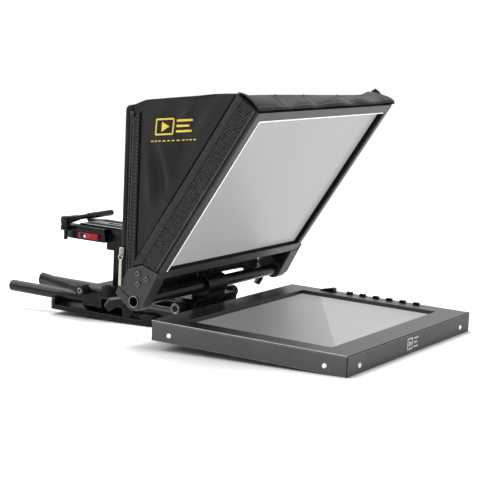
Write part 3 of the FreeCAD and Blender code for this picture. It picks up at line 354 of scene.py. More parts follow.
# Each finish by the name that the pieces and the slots use.
MAKE = {
    "hood_cloth": lambda: woven("nylon_cloth", grey(0.0085), 0.42 * MM, 0.46, 0.02, gloss=0.2),
    "hem_cloth": lambda: woven("hem_cloth", (0.02, 0.02, 0.0195), 0.36 * MM, 0.55, 0.05, gloss=0.2),
    "binding": lambda: woven("binding_tape", (0.008, 0.008, 0.0075), 0.55 * MM, 0.7, 0.05, 0.12),
    "zip_tape": lambda: woven("zipper_tape", (0.016, 0.0155, 0.015), 0.9 * MM, 0.7, 0.05, 0.2),
    # Painted shadow: near-black strips laid in creases and gaps where shade falls.
    "shadow_cloth": lambda: woven("painted_shadow_cloth", grey(0.002), 0.5 * MM, 0.9, 0.0, gloss=0.05),
    "anodised": lambda: coated_metal(
        "black_anodised", (0.004, 0.004, 0.0042), 0.3, 900, 0.9, radius=0.8, gloss=0.14,
        glint=0.12),
    "case_steel": lambda: coated_metal(
        "charcoal_powder_coat", (0.078, 0.078, 0.08), 0.5, 1150, 0.8, radius=0.9, mottle=0.2,
        gloss=0.25, depth=0.06, glint=0.4),
    "bezel_coat": lambda: coated_metal(
        "smooth_bezel_coat", (0.010, 0.010, 0.0105), 0.3, 1150, 0.5, gloss=0.85, depth=0.02,
        glint=0.1),
    "arm_coat": lambda: coated_metal(
        "satin_arm_coat", (0.036, 0.036, 0.037), 0.42, 1300, 0.8, radius=1.0, gloss=0.25,
        glint=0.14),
    "frame_alloy": lambda: coated_metal(
        "grey_anodised_frame", (0.06, 0.06, 0.061), 0.4, 1500, 0.4, 0.1, depth=0),
    "rod_alloy": lambda: coated_metal(
        "polished_black_rod", (0.008, 0.008, 0.0085), 0.25, 1500, 0.0, 0.0, gloss=0.2, depth=0,
        glint=0),
    "plate_alloy": plate_with_shaded_sides,
    "black_plastic": lambda: moulded(
        "black_plastic", (0.006, 0.006, 0.0062), 0.36, radius=0.3, gloss=0.18),
    # Painted highlight: the coil is pale grey so that it reads as the light line that it catches.
    "coil_plastic": lambda: moulded("zipper_coil_pale_highlight", (0.11, 0.108, 0.1), 0.3),
    "key_plastic": lambda: moulded("key_plastic", (0.005, 0.005, 0.0055), 0.3, gloss=0.15),
    "red_plastic": lambda: moulded("red_catch_plastic", (0.42, 0.008, 0.018), 0.35),
    "black_rubber": lambda: moulded("black_rubber", grey(0.004), 0.7, 700, gloss=0.1),
    "bright_steel": lambda: turned_steel("bright_plated_steel", (0.8, 0.77, 0.72), 0.24),
    "zip_metal": lambda: turned_steel("worn_nickel", (0.46, 0.43, 0.37), 0.3),
    "black_steel": lambda: turned_steel("black_oxide_steel", (0.1, 0.095, 0.09), 0.26),
    "board": lambda: moulded("circuit_board", (0.02, 0.11, 0.05), 0.45),
    "thread": lambda: woven("grey_thread", (0.07, 0.069, 0.066), 0.2 * MM, 0.6, 0.2),
    "edge_thread": lambda: woven("pale_edge_thread", (0.15, 0.148, 0.142), 0.2 * MM, 0.6, 0.2),
    "mark_thread": lambda: woven(
        "yellow_embroidery", (0.78, 0.56, 0.07), 0.5 * MM, 0.5, 0.3, 0.15, 0.1),
    "white_mark": lambda: moulded("white_marking", (0.75, 0.75, 0.74), 0.5),
    "bright_edge": glowing_highlight_bead,
    # Painted highlight along the case's folded edge.
    "fold_glint": lambda: moulded("painted_fold_highlight", (0.5, 0.5, 0.51), 0.35),
    "hook_band": hook_band,
    "coated_glass": coated_glass,
    "lit_screen": lit_screen,
    # Painted highlight: pale rings that stand for the light caught on round rims.
    "ring_glint": lambda: turned_steel("painted_rim_highlight", (0.4, 0.395, 0.39), 0.24),
}
made_materials = {}


def material(name):
    if name not in made_materials:
        made_materials[name] = MAKE[name]().made
    return made_materials[name]


# ---- mesh helpers

def add_mesh(name, points, faces, finish, body="mirror"):
    """A new piece that rides on a body, with one of the finishes below."""
    data = bpy.data.meshes.new(name)
    data.from_pydata([tuple(point) for point in points], [], faces)
    data.materials.append(material(finish))
    for polygon in data.polygons:
        polygon.use_smooth = True
    piece = bpy.data.objects.new(name, data)
    bpy.context.scene.collection.objects.link(piece)
    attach(piece, body)
    return piece


def add_sheet(name, columns, rows, place, finish, thick, flip=False, closed=False):
    """A sheet of cloth on the mirror, thick in mm.

    place(s, t) gives a point and its flat place in metres, for s, t in 0..1.
    """
    points, flat = [], []
    for row in range(rows + 1):
        for column in range(columns + 1):
            point, flat_place = place(column / columns, row / rows)
            points.append(point)
            flat.append(flat_place)
    wide = columns + 1
    faces = []
    for row in range(rows):
        for column in range(columns):
            corner = row * wide + column
            quad = (corner, corner + 1, corner + 1 + wide, corner + wide)
            faces.append(quad[::-1] if flip else quad)
    piece = add_mesh(name, points, faces, finish)
    layer = piece.data.uv_layers.new(name="cloth")
    for loop in piece.data.loops:
        layer.data[loop.index].uv = flat[loop.vertex_index]
    if closed:
        weld = piece.modifiers.new("weld", "WELD")
        weld.merge_threshold = 0.02 * MM
    solid = piece.modifiers.new("thickness", "SOLIDIFY")
    solid.thickness = thick * MM
    solid.offset = -1
    return piece


def tube(path, radius, sides=8, flat=1.0, across=ACROSS):
    """Points and faces of a capped tube along a path, flattened along one direction."""
    points, faces = [], []
    last = len(path) - 1
    for step, middle in enumerate(path):
        way = (path[min(last, step + 1)] - path[max(0, step - 1)]).normalized()
        side = way.cross(across).normalized()
        for turn in range(sides):
            roll = 2 * math.pi * turn / sides
            points.append(middle + (side * (radius * math.cos(roll))
                                    + across * (radius * flat * math.sin(roll))))
    for here in range(0, last * sides, sides):
        for turn in range(sides):
            following = (turn + 1) % sides
            faces.append((here + turn, here + following,
                          here + sides + following, here + sides + turn))
    faces.append(tuple(range(sides))[::-1])
    faces.append(tuple(range(last * sides, last * sides + sides)))
    return points, faces


def joined(name, parts, finish, body="mirror"):
    """Several tubes as one piece."""
    points, faces = [], []
    for part_points, part_faces in parts:
        first = len(points)
        points.extend(part_points)
        faces.extend(tuple(first + index for index in face) for face in part_faces)
    return add_mesh(name, points, faces, finish, body)


def lerp(start, end, share):
    return start + (end - start) * share


def between(start, end, steps):
    """Evenly spaced points from one point to another."""
    return [start.lerp(end, step / steps) for step in range(steps + 1)]


def crown(share, power):
    """A rounded rise from 0 at both ends to 1 in the middle."""
    return math.sin(math.pi * min(1, max(0, share))) ** power


def dimple(distance, wide):
    """1 at no distance, falling to nothing a few widths away."""
    return math.exp(-(distance / wide) ** 2)


def smooth(share):
    share = min(1.0, max(0.0, share))
    return share * share * (3 - 2 * share)


def along_line(points, share):
    """A point at a share of a polyline's length."""
    lengths = [(b - a).length for a, b in zip(points, points[1:])]
    left = share * sum(lengths)
    for start, end, length in zip(points, points[1:], lengths):
        if left <= length or end is points[-1]:
            return start.lerp(end, min(1.0, left / length))
        left -= length
    return points[-1]


def rounded_corner(before, corner, after, radius, steps=10):
    """The points of an arc that rounds a corner between two straight runs."""
    first, second = (before - corner).normalized(), (after - corner).normalized()
    half = first.angle(second) / 2
    middle = (first + second).normalized()
    centre = corner + middle * (radius / math.sin(half))
    across = (second - first).normalized()
    sweep_half = math.pi / 2 - half
    turns = [lerp(-sweep_half, sweep_half, step / steps) for step in range(steps + 1)]
    return [centre + (across * math.sin(turn) - middle * math.cos(turn)) * radius for turn in turns]


def ripple(point, size, seed=0.0):
    """Smooth noise from -1 to 1 with a feature size in metres."""
    return noise.noise(Vector((point[0] / size + seed, point[1] / size - seed, point[2] / size)))


# ---- hood outline

# Edges of the bands and hems: in mm out of the glass, up the glass, and over their width.
FRONT_OUT, BAND_BACK, HEM_BACK = 4.6, -16.0, -25.5
BAND_FOOT_FRONT, BAND_FOOT_BACK, BAND_TOP = 48.4, 43.6, 275.8
BAND_WIDE, HEM_WIDE, TAPE_WIDE = 20.6, 9.8, 10.2
# Where the band is tacked to the frame, in mm up the glass.
TACKS = (50.5, 97.5, 127.5, 217, 268)
# Soft folds: place along Y and Z, lean, width and height along Z in metres, and depth in mm.
FOLDS = [
    (-0.146, 0.210, -0.10, 0.008, 0.060, 5.0),
    (-0.163, 0.190, -0.22, 0.008, 0.055, -4.6),
    (-0.180, 0.205, -0.45, 0.010, 0.050, 5.0),
    (-0.200, 0.232, -0.50, 0.011, 0.045, -4.2),
    (-0.150, 0.150, -0.05, 0.009, 0.035, -3.4),
    (-0.222, 0.268, 0.60, 0.009, 0.026, 4.0),
    (-0.188, 0.262, 0.45, 0.008, 0.022, 3.0),
    (-0.160, 0.128, 0.35, 0.008, 0.020, 2.6),
]
# The outline of a side panel.
FRONT_LOW = on_mirror(0, BAND_FOOT_FRONT, FRONT_OUT)
FRONT_HIGH = on_mirror(0, 276.4, FRONT_OUT)
PEAK = on_mirror(0, 277.4, -25.6)
NOTCH = on_mirror(0, 43.2, -16.4)
HEEL = on_mirror(0, 26.8, -28.8)
BACK_LOW = Vector((0, BACK_Y, HOOD_FOOT))
BACK_HIGH = on_mirror(0, 176.8, -139.3)
BACK_HIGH.y = BACK_Y


def roof_rise(share):
    """How far the roof's edge arches over a straight line, from the peak to the back."""
    arch = math.sin(math.pi / 2 * min(1.0, share / 0.82)) ** 1.1
    return 3.8 * MM * arch * (1 - smooth((share - 0.84) / 0.13))


corner_arc = rounded_corner(PEAK, BACK_HIGH, BACK_LOW, 6.5 * MM)
ROOF_STEPS = 20
roof_line = [point + UP * roof_rise(step / ROOF_STEPS)
             for step, point in enumerate(between(PEAK, corner_arc[0], ROOF_STEPS))]
side_top = [FRONT_HIGH] + roof_line + corner_arc[1:6]
side_back = [BACK_LOW] + corner_arc[:4:-1]
side_bottom = [FRONT_LOW, NOTCH, HEEL, BACK_LOW]
side_front = [FRONT_LOW, FRONT_HIGH]


def side_point(s, t):
    """A point of the side panel's flat shape, from its four edges."""
    left, right = along_line(side_front, t), along_line(side_back, t)
    low, high = along_line(side_bottom, s), along_line(side_top, s)
    corners = (FRONT_LOW.lerp(BACK_LOW, s)).lerp(FRONT_HIGH.lerp(side_back[-1], s), t)
    return left.lerp(right, s) + low.lerp(high, t) - corners


def glass_share(point):
    """A point's distances up the glass and out of it, in mm."""
    offset = point - Vector((point.x, hinge.y, hinge.z))
    return offset.dot(up_glass) / MM, offset.dot(out_of_glass) / MM


def side_wave(point, seed):
    """How far the slack cloth of a side stands out, in metres."""
    _, out = glass_share(point)
    calm = smooth((HEM_BACK - 2 - out) / 28) * smooth((BACK_Y - 21 * MM - point.y) / (24 * MM))
    calm *= smooth((point.z - 0.098) / 0.025)
    folds = 0.0
    for place_y, place_z, lean, wide, tall, height in FOLDS:
        across = (point.y - place_y) + lean * (point.z - place_z)
        folds += height * math.exp(-(across / wide) ** 2 - ((point.z - place_z) / tall) ** 2)
    broad = ripple(point, 0.06, seed) * 3.0 + ripple(point, 0.022, seed + 3) * 0.9
    return calm * (folds + broad) * MM


def far_sag(point):
    """How far the top edge of the far side hangs below the near one, in metres."""
    _, out = glass_share(point)
    return 9.0 * MM * smooth((-4 - out) / 20) * smooth((BACK_Y - 12 * MM - point.y) / (45 * MM))


def make_sides():
    for name, side, seed in (("near", -1, 0.0), ("far", 1, 7.0)):
        outer = side * (HOOD_X - 0.4 * MM)

        def place(s, t):
            point = side_point(s, t)
            point.x = outer + side * side_wave(point, seed)
            if side > 0:
                point.z -= far_sag(point) * smooth((t - 0.4) / 0.6)
            return point, (point.y, point.z)

        panel = add_sheet(f"hood_side_{name}_cloth", 110, 120, place, "hood_cloth",
                          0.9, flip=side < 0)
        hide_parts(f"hood_{name}_side")


def make_bands():
    """The hook-and-loop band and the stitched hem beside it, on both sides of the frame."""
    for name, side in SIDES:
        outer = side * (HOOD_X + 0.1 * MM)

        def band(s, t):
            out = lerp(FRONT_OUT, BAND_BACK, s)
            up = lerp(lerp(BAND_FOOT_FRONT, BAND_FOOT_BACK, s), BAND_TOP, t)
            puff = 0.55 * math.sin(math.pi * min(1, s * 8)) if s < 0.125 else 0.0
            rib = 0.42 * math.sin(2 * math.pi * up * MM / RIB_PITCH) * smooth((s - 0.1) * 12)
            lift = 1.1 + puff + rib + 0.3 * ripple((up * MM, out * MM, side), 0.03)
            tuck = sum(dimple(up - tack, 1.1) for tack in TACKS)
            point = on_mirror(outer + side * (lift - 0.75 * min(1, tuck)) * MM, up, out)
            return point, (s * BAND_WIDE * MM, up * MM)

        strip = add_sheet(f"hook_band_{name}", 26, 800, band, "hook_band", 0.9,
                          flip=side < 0)
        if name == "near":
            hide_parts("hood_bands")

        # Painted shadow: dark tubes along the creases on both edges of the hem.
        seams = []
        for low, high, wide in (((31, -27.4), (273.5, -26.4), 0.8),
                                ((43.5, -16.2), (275.5, -16.2), 0.6)):
            start, end = (on_mirror(outer + side * 0.75 * MM, *place) for place in (low, high))
            seams.append(tube(between(start, end, 24), wide * MM, 6, 0.5))
        joined(f"hem_seam_shadows_{name}", seams, "shadow_cloth")

        def hem(s, t):
            out = lerp(BAND_BACK + 0.3, lerp(-28.6, HEM_BACK, smooth(t * 1.4)), s)
            low = BAND_FOOT_BACK - (BAND_BACK - out) * 1.1
            high = 276.6 - max(0.0, -25.6 - out) * 0.88
            up = lerp(low, high, t)
            rise = crown(s, 0.5)
            tuck = sum(dimple(up - tack, 1.3) for tack in TACKS)
            lift = 0.35 + 1.25 * rise - 0.8 * min(1, tuck) * rise
            point = on_mirror(outer + side * lift * MM, up, out)
            return point, (s * HEM_WIDE * MM, up * MM)

        fold = add_sheet(f"hem_fold_{name}", 12, 260, hem, "hem_cloth", 0.6,
                         flip=side < 0)


def make_roof():
    """The roof with the band over the frame's top rail, one cloth that sags between the sides."""
    def peak_drop(x):
        share = (x + HOOD_X) / (2 * HOOD_X)
        raised = smooth((share - 0.88) / 0.06) * (1 - 0.5 * smooth((share - 0.97) / 0.03))
        return (smooth(share / 0.07) * lerp(3.6, 9.6, smooth(share)) - 3.4 * raised) * MM

    front = [on_mirror(0, 277.2, 6.9), on_mirror(0, 277.0, 4), on_mirror(0, 277.6, -24)]
    bend = [Vector((0, BACK_Y, BACK_HIGH.z - 26 * MM))]
    profile = front + roof_line + corner_arc[1:] + bend
    long = sum((b - a).length for a, b in zip(profile, profile[1:]))

    def place(s, t):
        x = lerp(-HOOD_X + 0.3 * MM, HOOD_X - 0.3 * MM, s)
        point = along_line(profile, t)
        _, out = glass_share(point)
        point.x = x
        hang = smooth((6.9 - out) / 20) * smooth((BACK_Y - point.y) / (60 * MM))
        inside = math.sin(math.pi * s) ** 0.5
        far_drop = far_sag(point) * smooth((s - 0.2) / 0.6)
        slack = 4.0 * MM * crown((t - 0.2) / 0.75, 1) * inside
        point.z -= peak_drop(x) * hang + slack + far_drop
        waves = ripple((x, point.y, 0.3), 0.07, 5) * 1.8 + ripple((x, point.y, 0.1), 0.03) * 0.6
        point.z += hang * waves * MM
        return point, (x, t * long)

    roof = add_sheet("hood_roof_cloth", 150, 110, place, "hood_cloth", 0.9)
    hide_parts("hood_top")

    seams = ((-95, 12), (-34, 14), (47, 14), (109, 14))  # place across and lean, in mm

    def band(s, t):
        x = lerp(-HOOD_X, HOOD_X + 1.0 * MM, s)
        out = lerp(7.3, -26.5, t)
        tuck = 0.0
        puff = 1.0
        for middle, lean in seams:
            distance = x / MM - (middle + lean * t)
            tuck += dimple(distance, 1.5)
            puff = min(puff, smooth(abs(distance) / 30))
        rise = crown(t, 0.6)
        lift = 1.0 + rise * (2.6 * puff + 0.6) - 1.3 * min(1, tuck) * rise
        wavy = 0.9 * math.sin(x / MM / 17) + 1.3 * ripple((x, 0, 0), 0.045, 2)
        edge = 1 - smooth(t / 0.3)
        point = on_mirror(x, 277.6 + lift + 0.6 * wavy * edge, out + wavy * edge * 0.5)
        point.z -= peak_drop(x) * smooth(t)
        point.z += 1.1 * MM * ripple((x, out * MM, 0), 0.03, 9) * rise
        return point, (x, out * MM)

    cover = add_sheet("top_band_cloth", 260, 22, band, "hood_cloth", 1.1)

    def on_band(x, t, lift):
        return band((x * MM + HOOD_X) / (2 * HOOD_X + 1.0 * MM), t)[0] + up_glass * (lift * MM)

    threads, shadows = [], []
    for middle, lean in seams:
        steps = [step / 20 for step in range(21)]
        threads.append(tube([on_band(middle + lean * t - 0.9, t, 0.7) for t in steps], 0.5 * MM, 6))
        shadows.append(tube([on_band(middle + lean * t + 0.6, t, 0.5) for t in steps], 0.7 * MM, 6))
    edge = [lerp(-HOOD_X, HOOD_X, step / 160) / MM for step in range(161)]
    front_stitches = [(on_band(x, 0.12, 0.1), up_glass) for x in edge]
    threads += stitch_run(front_stitches, 3.4 * MM, 2.2 * MM, 0.28 * MM)
    shadows.append(tube([on_band(x, 0, -0.9) for x in edge], 1.2 * MM, 6))
    joined("top_band_seams", threads, "edge_thread")
    joined("top_band_shadows", shadows, "shadow_cloth")


def make_back():
    """The back panel round its gathered lens opening."""
    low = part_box("hood_back")[0]
    opening = next(o for o in frame["record"]["physics"]["openings"] if o["name"] == "lens_opening")
    box_half = 38 * MM  # the stated opening is a box inside the round hole
    centre = Vector((0, BACK_Y, opening["box_m"][0][2] + box_half))
    hole = 55.5 * MM
    gathers = 34
    half = HOOD_X - 1 * MM
    top, foot = BACK_HIGH.z - 10 * MM - centre.z, centre.z - low.z

    def gathered(angle):
        """Gathers of the cloth round the hole, from -1 to 1, a little uneven."""
        return math.sin(angle * gathers + 1.3 * math.sin(5 * angle))

    def edge_of(angle):
        way = Vector((math.cos(angle), math.sin(angle)))
        reaches = [half / abs(way.x)] if abs(way.x) > 1e-6 else []
        if way.y > 1e-6:
            reaches.append(top / way.y)
        if way.y < -1e-6:
            reaches.append(foot / -way.y)
        return min(reaches)

    corners = [math.atan2(top, half), math.pi - math.atan2(top, half),
               math.pi + math.atan2(foot, half), 2 * math.pi - math.atan2(foot, half)]
    stops = sorted([2 * math.pi * step / 288 for step in range(288)] + corners)
    stops.append(stops[0] + 2 * math.pi)

    def place(s, t):
        angle = stops[round(s * (len(stops) - 1))]
        reach = lerp(hole, edge_of(angle), t ** 1.25)
        x, z = reach * math.cos(angle), reach * math.sin(angle)
        near_hole = math.exp(-(reach - hole) / (16 * MM))
        gather = 1.5 * MM * gathered(angle) * near_hole
        slack = 2.2 * MM * ripple((x, z, 0.4), 0.07, 4) * smooth(t * 3) * smooth((1 - t) * 4)
        return centre + Vector((x, gather + slack - 0.6 * MM, z)), (x, z)

    panel = add_sheet("hood_back_cloth", len(stops) - 1, 44, place, "hood_cloth",
                      0.9, closed=True)
    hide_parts("hood_back")

    points, faces, around_ring, round_hem = [], [], 272, 10
    for step in range(around_ring):
        angle = 2 * math.pi * step / around_ring
        gather = 0.75 * MM * gathered(angle)
        for turn in range(round_hem):
            roll = 2 * math.pi * turn / round_hem
            thick = (2.6 + 0.55 * math.sin(2 * gathers * angle)) * MM
            reach = hole + thick * math.cos(roll)
            points.append(centre + Vector((reach * math.cos(angle), thick * math.sin(roll) + gather,
                                           reach * math.sin(angle))))
            here, there = step * round_hem, (step + 1) % around_ring * round_hem
            following = (turn + 1) % round_hem
            faces.append((here + turn, there + turn, there + following, here + following))
    add_mesh("lens_opening_hem", points, faces, "binding")


def make_skirt():
    """The flap that hangs from the back panel behind the hinge tube."""
    low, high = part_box("hood_skirt")
    flap_top = high.z + 5 * MM

    def hem_z(x):
        """The hem hangs lower at both ends than over the gap beside the holder."""
        near = 1 - smooth((x / MM - 30) / 15)
        far = smooth((x / MM - 104) / 10)
        return low.z + lerp(2.0, -6.5, max(near, far)) * MM

    def place(s, t):
        x = lerp(low.x, high.x, s)
        z = lerp(hem_z(x), flap_top, t)
        slack = 1 - smooth((t - 0.6) / 0.4)
        z += slack * (1.2 * math.sin(x / MM / 31 + 0.6) + 0.8 * ripple((x, 0, 0), 0.05, 4)) * MM
        swing = 0.8 * math.sin(x / MM / 12) + 0.7 * ripple((x, 0, z), 0.03, 6)
        y = BACK_Y - 0.5 * MM + slack * swing * MM
        return Vector((x, y, z)), (x, z)

    flap = add_sheet("hood_skirt_cloth", 140, 16, place, "binding", 1.0)
    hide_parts("hood_skirt")
    hem = [place(step / 90, 0.03)[0] + Vector((0, 0, 0.6 * MM)) for step in range(91)]
    joined("hood_skirt_hem", [tube(hem, 1.5 * MM, 8, 0.7, ALONG)], "hem_cloth")


def back_edge(inset, steps=90):
    """The side's upright back edge with its rounded top, moved inwards, from the foot up."""
    arc = corner_arc[::-1]
    line = [BACK_LOW.lerp(arc[0], step / steps) for step in range(steps)] + arc
    line += [corner_arc[0].lerp(PEAK, share) + UP * roof_rise(share)
             for share in (0.02, 0.025, 0.03)]
    moved = []
    for step, point in enumerate(line):
        before, after = line[max(0, step - 1)], line[min(len(line) - 1, step + 1)]
        way = (after - before).normalized()
        inward = Vector((0, -way.z, way.y))
        moved.append(point + inward * inset)
    return moved


def make_zipper():
    """Binding round the back corner, the coil zipper and its stitched tape, on both sides."""
    for name, side in SIDES:
        outer = side * (HOOD_X + 0.1 * MM)
        roll = [Vector((outer - side * 2.0 * MM, p.y, p.z)) for p in back_edge(3.2 * MM)]
        roll = [p + Vector((side * 0.35 * ripple(p, 0.03), 0.25 * ripple(p, 0.02, 3), 0)) * MM
                for p in roll]
        joined(f"back_binding_{name}", [tube(roll, 3.4 * MM, 14, 0.8)], "binding")

        # Painted shadow: dark tubes in the gaps beside the binding, the coil and the tape.
        gaps = []
        for inset in (7.0 * MM, 10.0 * MM, 21.2 * MM):
            line = [Vector((outer + side * 0.15 * MM, p.y, p.z)) for p in back_edge(inset)]
            gaps.append(tube(line, 0.75 * MM, 6, 0.5))
        joined(f"zipper_seam_shadows_{name}", gaps, "shadow_cloth")

        tape_edges = [back_edge(inset * MM) for inset in (10.4, 20.6)]

        def tape(s, t):
            first, second = (along_line(edge, t) for edge in tape_edges)
            point = first.lerp(second, s)
            bulge = 0.3 + 1.3 * crown(s, 0.5) + 0.35 * ripple(point, 0.025, side)
            groove = 0.6 * dimple(s - 0.5, 0.05)
            point.x = outer + side * (bulge - groove) * MM
            return point, (s * TAPE_WIDE * MM, t * 0.19)

        strip = add_sheet(f"zipper_tape_{name}", 14, 200, tape, "zip_tape", 0.7,
                          flip=side > 0)
        if name == "near":
            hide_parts("zipper_tapes")

        count = 150
        chain = back_edge(8.6 * MM, count)
        coils = []
        for step in range(count):
            middle = along_line(chain, (step + 0.5) / count)
            ahead = along_line(chain, min(1, (step + 1.2) / count))
            way = (ahead - middle).normalized()
            across = ACROSS.cross(way)
            lean = across * (0.95 * MM) + way * (0.25 * MM * (1 if step % 2 else -1))
            lift = ACROSS * (side * 0.9 * MM)
            base = Vector((outer, middle.y, middle.z))
            path = [base - lean, base - lean * 0.6 + lift, base + lean * 0.6 + lift, base + lean]
            coils.append(tube(path, 0.36 * MM, 5, 1.0, way))
        joined(f"zipper_coil_{name}", coils, "coil_plastic")


# ---- stitches

def stitch_run(path, pitch, length, radius):
    """Short thread stitches along a path of (point, outward) pairs."""
    parts = []
    points = [point for point, _ in path]
    total = sum((b - a).length for a, b in zip(points, points[1:]))
    count = max(2, int(total / pitch))
    outward = path[0][1]
    for step in range(count):
        first = along_line(points, (step + 0.5 - length / pitch / 2) / count)
        last = along_line(points, (step + 0.5 + length / pitch / 2) / count)
        middle = first.lerp(last, 0.5) + outward * radius * 1.1
        sunk, raised = outward * radius * 0.4, outward * radius * 0.3
        parts.append(tube([first - sunk, first.lerp(middle, 0.5) + raised, middle,
                           last.lerp(middle, 0.5) + raised, last - sunk], radius, 5, 1.0, outward))
    return parts


def make_stitches():
    """The seams' stitches: bright ones along the edges, darker ones and the tacks between them."""
    parts, edging = [], []
    for side in (-1, 1):
        outward = Vector((side, 0, 0))
        face = side * (HOOD_X + 0.1 * MM)

        def line(low, high, lift):
            start, end = (on_mirror(face + side * lift * MM, *place) for place in (low, high))
            return [(point, outward) for point in between(start, end, 8)]

        edging += stitch_run(line((50, 3.3), (274, 3.3), 1.75), 3.4 * MM, 2.6 * MM, 0.36 * MM)
        parts += stitch_run(line((46, -14.4), (274, -14.4), 1.3), 3.6 * MM, 1.9 * MM, 0.2 * MM)
        parts += stitch_run(line((38, -26.0), (272, -24.2), 1.1), 4.4 * MM, 2.0 * MM, 0.26 * MM)
        for tack in TACKS:
            parts += stitch_run(line((tack, 3.2), (tack, -15), 1.0), 2.4 * MM, 1.3 * MM, 0.27 * MM)
            parts += stitch_run(line((tack, -17), (tack, -24.6), 1.3), 2.4 * MM, 1.3 * MM,
                                0.26 * MM)
        for inset in (12.3 * MM, 18.4 * MM):
            edge = [(Vector((face + side * 1.45 * MM, p.y, p.z)), outward)
                    for p in back_edge(inset)]
            edging += stitch_run(edge, 4.4 * MM, 1.6 * MM, 0.36 * MM)
    joined("hood_stitches", parts, "thread")
    joined("hood_edge_stitches", edging, "edge_thread")


def make_mark():
    """A generic embroidered mark on the near side: a framed triangle, lines and a row of dashes."""
    start, slope = Vector((0, -0.1575, 0.2525)), 0.12
    run = Vector((0, -1, slope)).normalized()

    def spot(across, height):
        point = start + run * (across * MM) + UP * (height * MM)
        point.x = -(HOOD_X + 0.1 * MM) - side_wave(point, 0.0)
        return point

    def bar(first, last, wide):
        path = [spot(lerp(first[0], last[0], step / 6), lerp(first[1], last[1], step / 6))
                for step in range(7)]
        return tube(path, wide * MM, 8, 0.45)

    parts = []
    frame_corners = [(0, 0), (22, 0), (22, 17), (0, 17), (0, 0)]
    for first, last in zip(frame_corners, frame_corners[1:]):
        parts.append(bar(first, last, 1.0))
    rows = 13
    for row in range(rows):
        height = 3.6 + row * 0.82
        long = 9.5 * (1 - abs(row - (rows - 1) / 2) / (rows / 2))
        parts.append(bar((7, height), (7.4 + long, height), 0.44))
    for height, first, last in ((14.6, 27, 48), (8.6, 27, 44), (2.6, 27, 47)):
        parts.append(bar((first, height), (last, height), 1.25))
    dash_height, dash_long, dash_pitch = -7.4, 3.2, 5.8
    for step in range(11):
        left = -7.5 + step * dash_pitch
        parts.append(bar((left, dash_height), (left + dash_long, dash_height), 0.7))
    joined("embroidered_mark", parts, "mark_thread")


def make_frame_trim():
    """A painted highlight that glows along the frame's inner edge, and dark strips along its lower and far inner
    walls.
    """
    inner, far_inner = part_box("frame_near_stile")[1].x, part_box("frame_far_stile")[0].x
    rail_low, rail_high, face, wall = 49.6, 263.4, 7.5, 4.6

    def upright(x, out):
        return [on_mirror(x, up, out) for up in (rail_low, 120, 190, rail_high)]

    def level(up, out):
        return [on_mirror(x, up, out) for x in (inner, -0.05, 0.05, -inner)]

    # Painted highlight: a glowing pale bead along the inner edge of the near stile and the top rail.
    bright = upright(inner + 0.3 * MM, face), level(rail_high - 0.3, face)
    joined("frame_edge_highlight", [tube(path, 0.85 * MM, 8, 1.0, out_of_glass) for path in bright],
           "bright_edge")
    dark_strips = [tube(upright(far_inner - 0.2 * MM, wall), 2.5 * MM, 10, 0.16),
             tube(upright(far_inner + 2.2 * MM, face + 0.25), 2.4 * MM, 10, 0.08, out_of_glass),
             tube(level(rail_low + 0.2, wall), 2.5 * MM, 10, 0.16, up_glass)]
    joined("frame_inner_dark_strips", dark_strips, "black_rubber")


def make_case_trim():
    """A painted highlight along the case's near-side fold, the dark joints of its front, and a mark."""
    low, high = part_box("monitor_tray")
    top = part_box("monitor_bezel")[1].z

    def line(start, end, steps, radius, across=ACROSS):
        return tube(between(Vector(start), Vector(end), steps), radius, across=across)

    # Painted highlight: a pale tube along the top of the near side.
    crease = top - 0.1 * MM
    fold = line((low.x, low.y, crease), (low.x, high.y, crease), 12, 0.42 * MM)
    joined("case_fold_highlight", [fold], "fold_glint", "front")
    seam = top - 0.5 * MM
    seams = [line((low.x, low.y, seam), (high.x, low.y, seam), 12, 0.45 * MM, UP),
             line(low, (low.x, low.y, top), 4, 0.45 * MM)]
    joined("case_corner_joints", seams, "black_rubber", "front")

    middle = Vector((0, low.y - 0.1 * MM, (low.z + top) / 2))
    outline = [(-14, -6), (-2, -6), (-2, 6), (-14, 6), (-14, -6)]
    arrow = [(-10.5, -2.8), (-10.5, 2.8), (-5, 0), (-10.5, -2.8)]
    strokes = []
    for drawn in (outline, arrow, [(2, -5), (13, -5)], [(2, 0), (10, 0)], [(2, 5), (13, 5)]):
        for ends in zip(drawn, drawn[1:]):
            path = [middle + Vector((x, 0, z)) * MM for x, z in ends]
            strokes.append(tube(path, 0.95 * MM, 6, 0.25, ALONG))
    joined("front_face_mark", strokes, "white_mark", "front")


def rounded_hexahedron(name, corners, radius, segments, finish, body):
    """A block with rounded edges, from its corners in the order of x, then y, then z."""
    quads = [(0, 1, 3, 2), (4, 6, 7, 5), (0, 4, 5, 1), (2, 3, 7, 6), (0, 2, 6, 4), (1, 5, 7, 3)]
    piece = add_mesh(name, corners, quads, finish, body)
    bevel = piece.modifiers.new("rounding", "BEVEL")
    bevel.width, bevel.segments = radius, segments


def ring(middle, radius, thick, flat=1.0, steps=40):
    """A closed ring round an axis across the object, as a tube whose ends meet."""
    first = ACROSS.orthogonal().normalized()
    second = ACROSS.cross(first)
    turns = [2 * math.pi * step / steps for step in range(steps + 1)]
    path = [middle + first * (radius * math.cos(turn)) + second * (radius * math.sin(turn))
            for turn in turns]
    return tube(path, thick, 8, flat, ACROSS)


def near_face(node, inset=0.0):
    """The middle of a CAD part's near face, moved into the part by some mm."""
    low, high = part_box(node)
    return Vector((low.x + inset * MM, (low.y + high.y) / 2, (low.z + high.z) / 2))


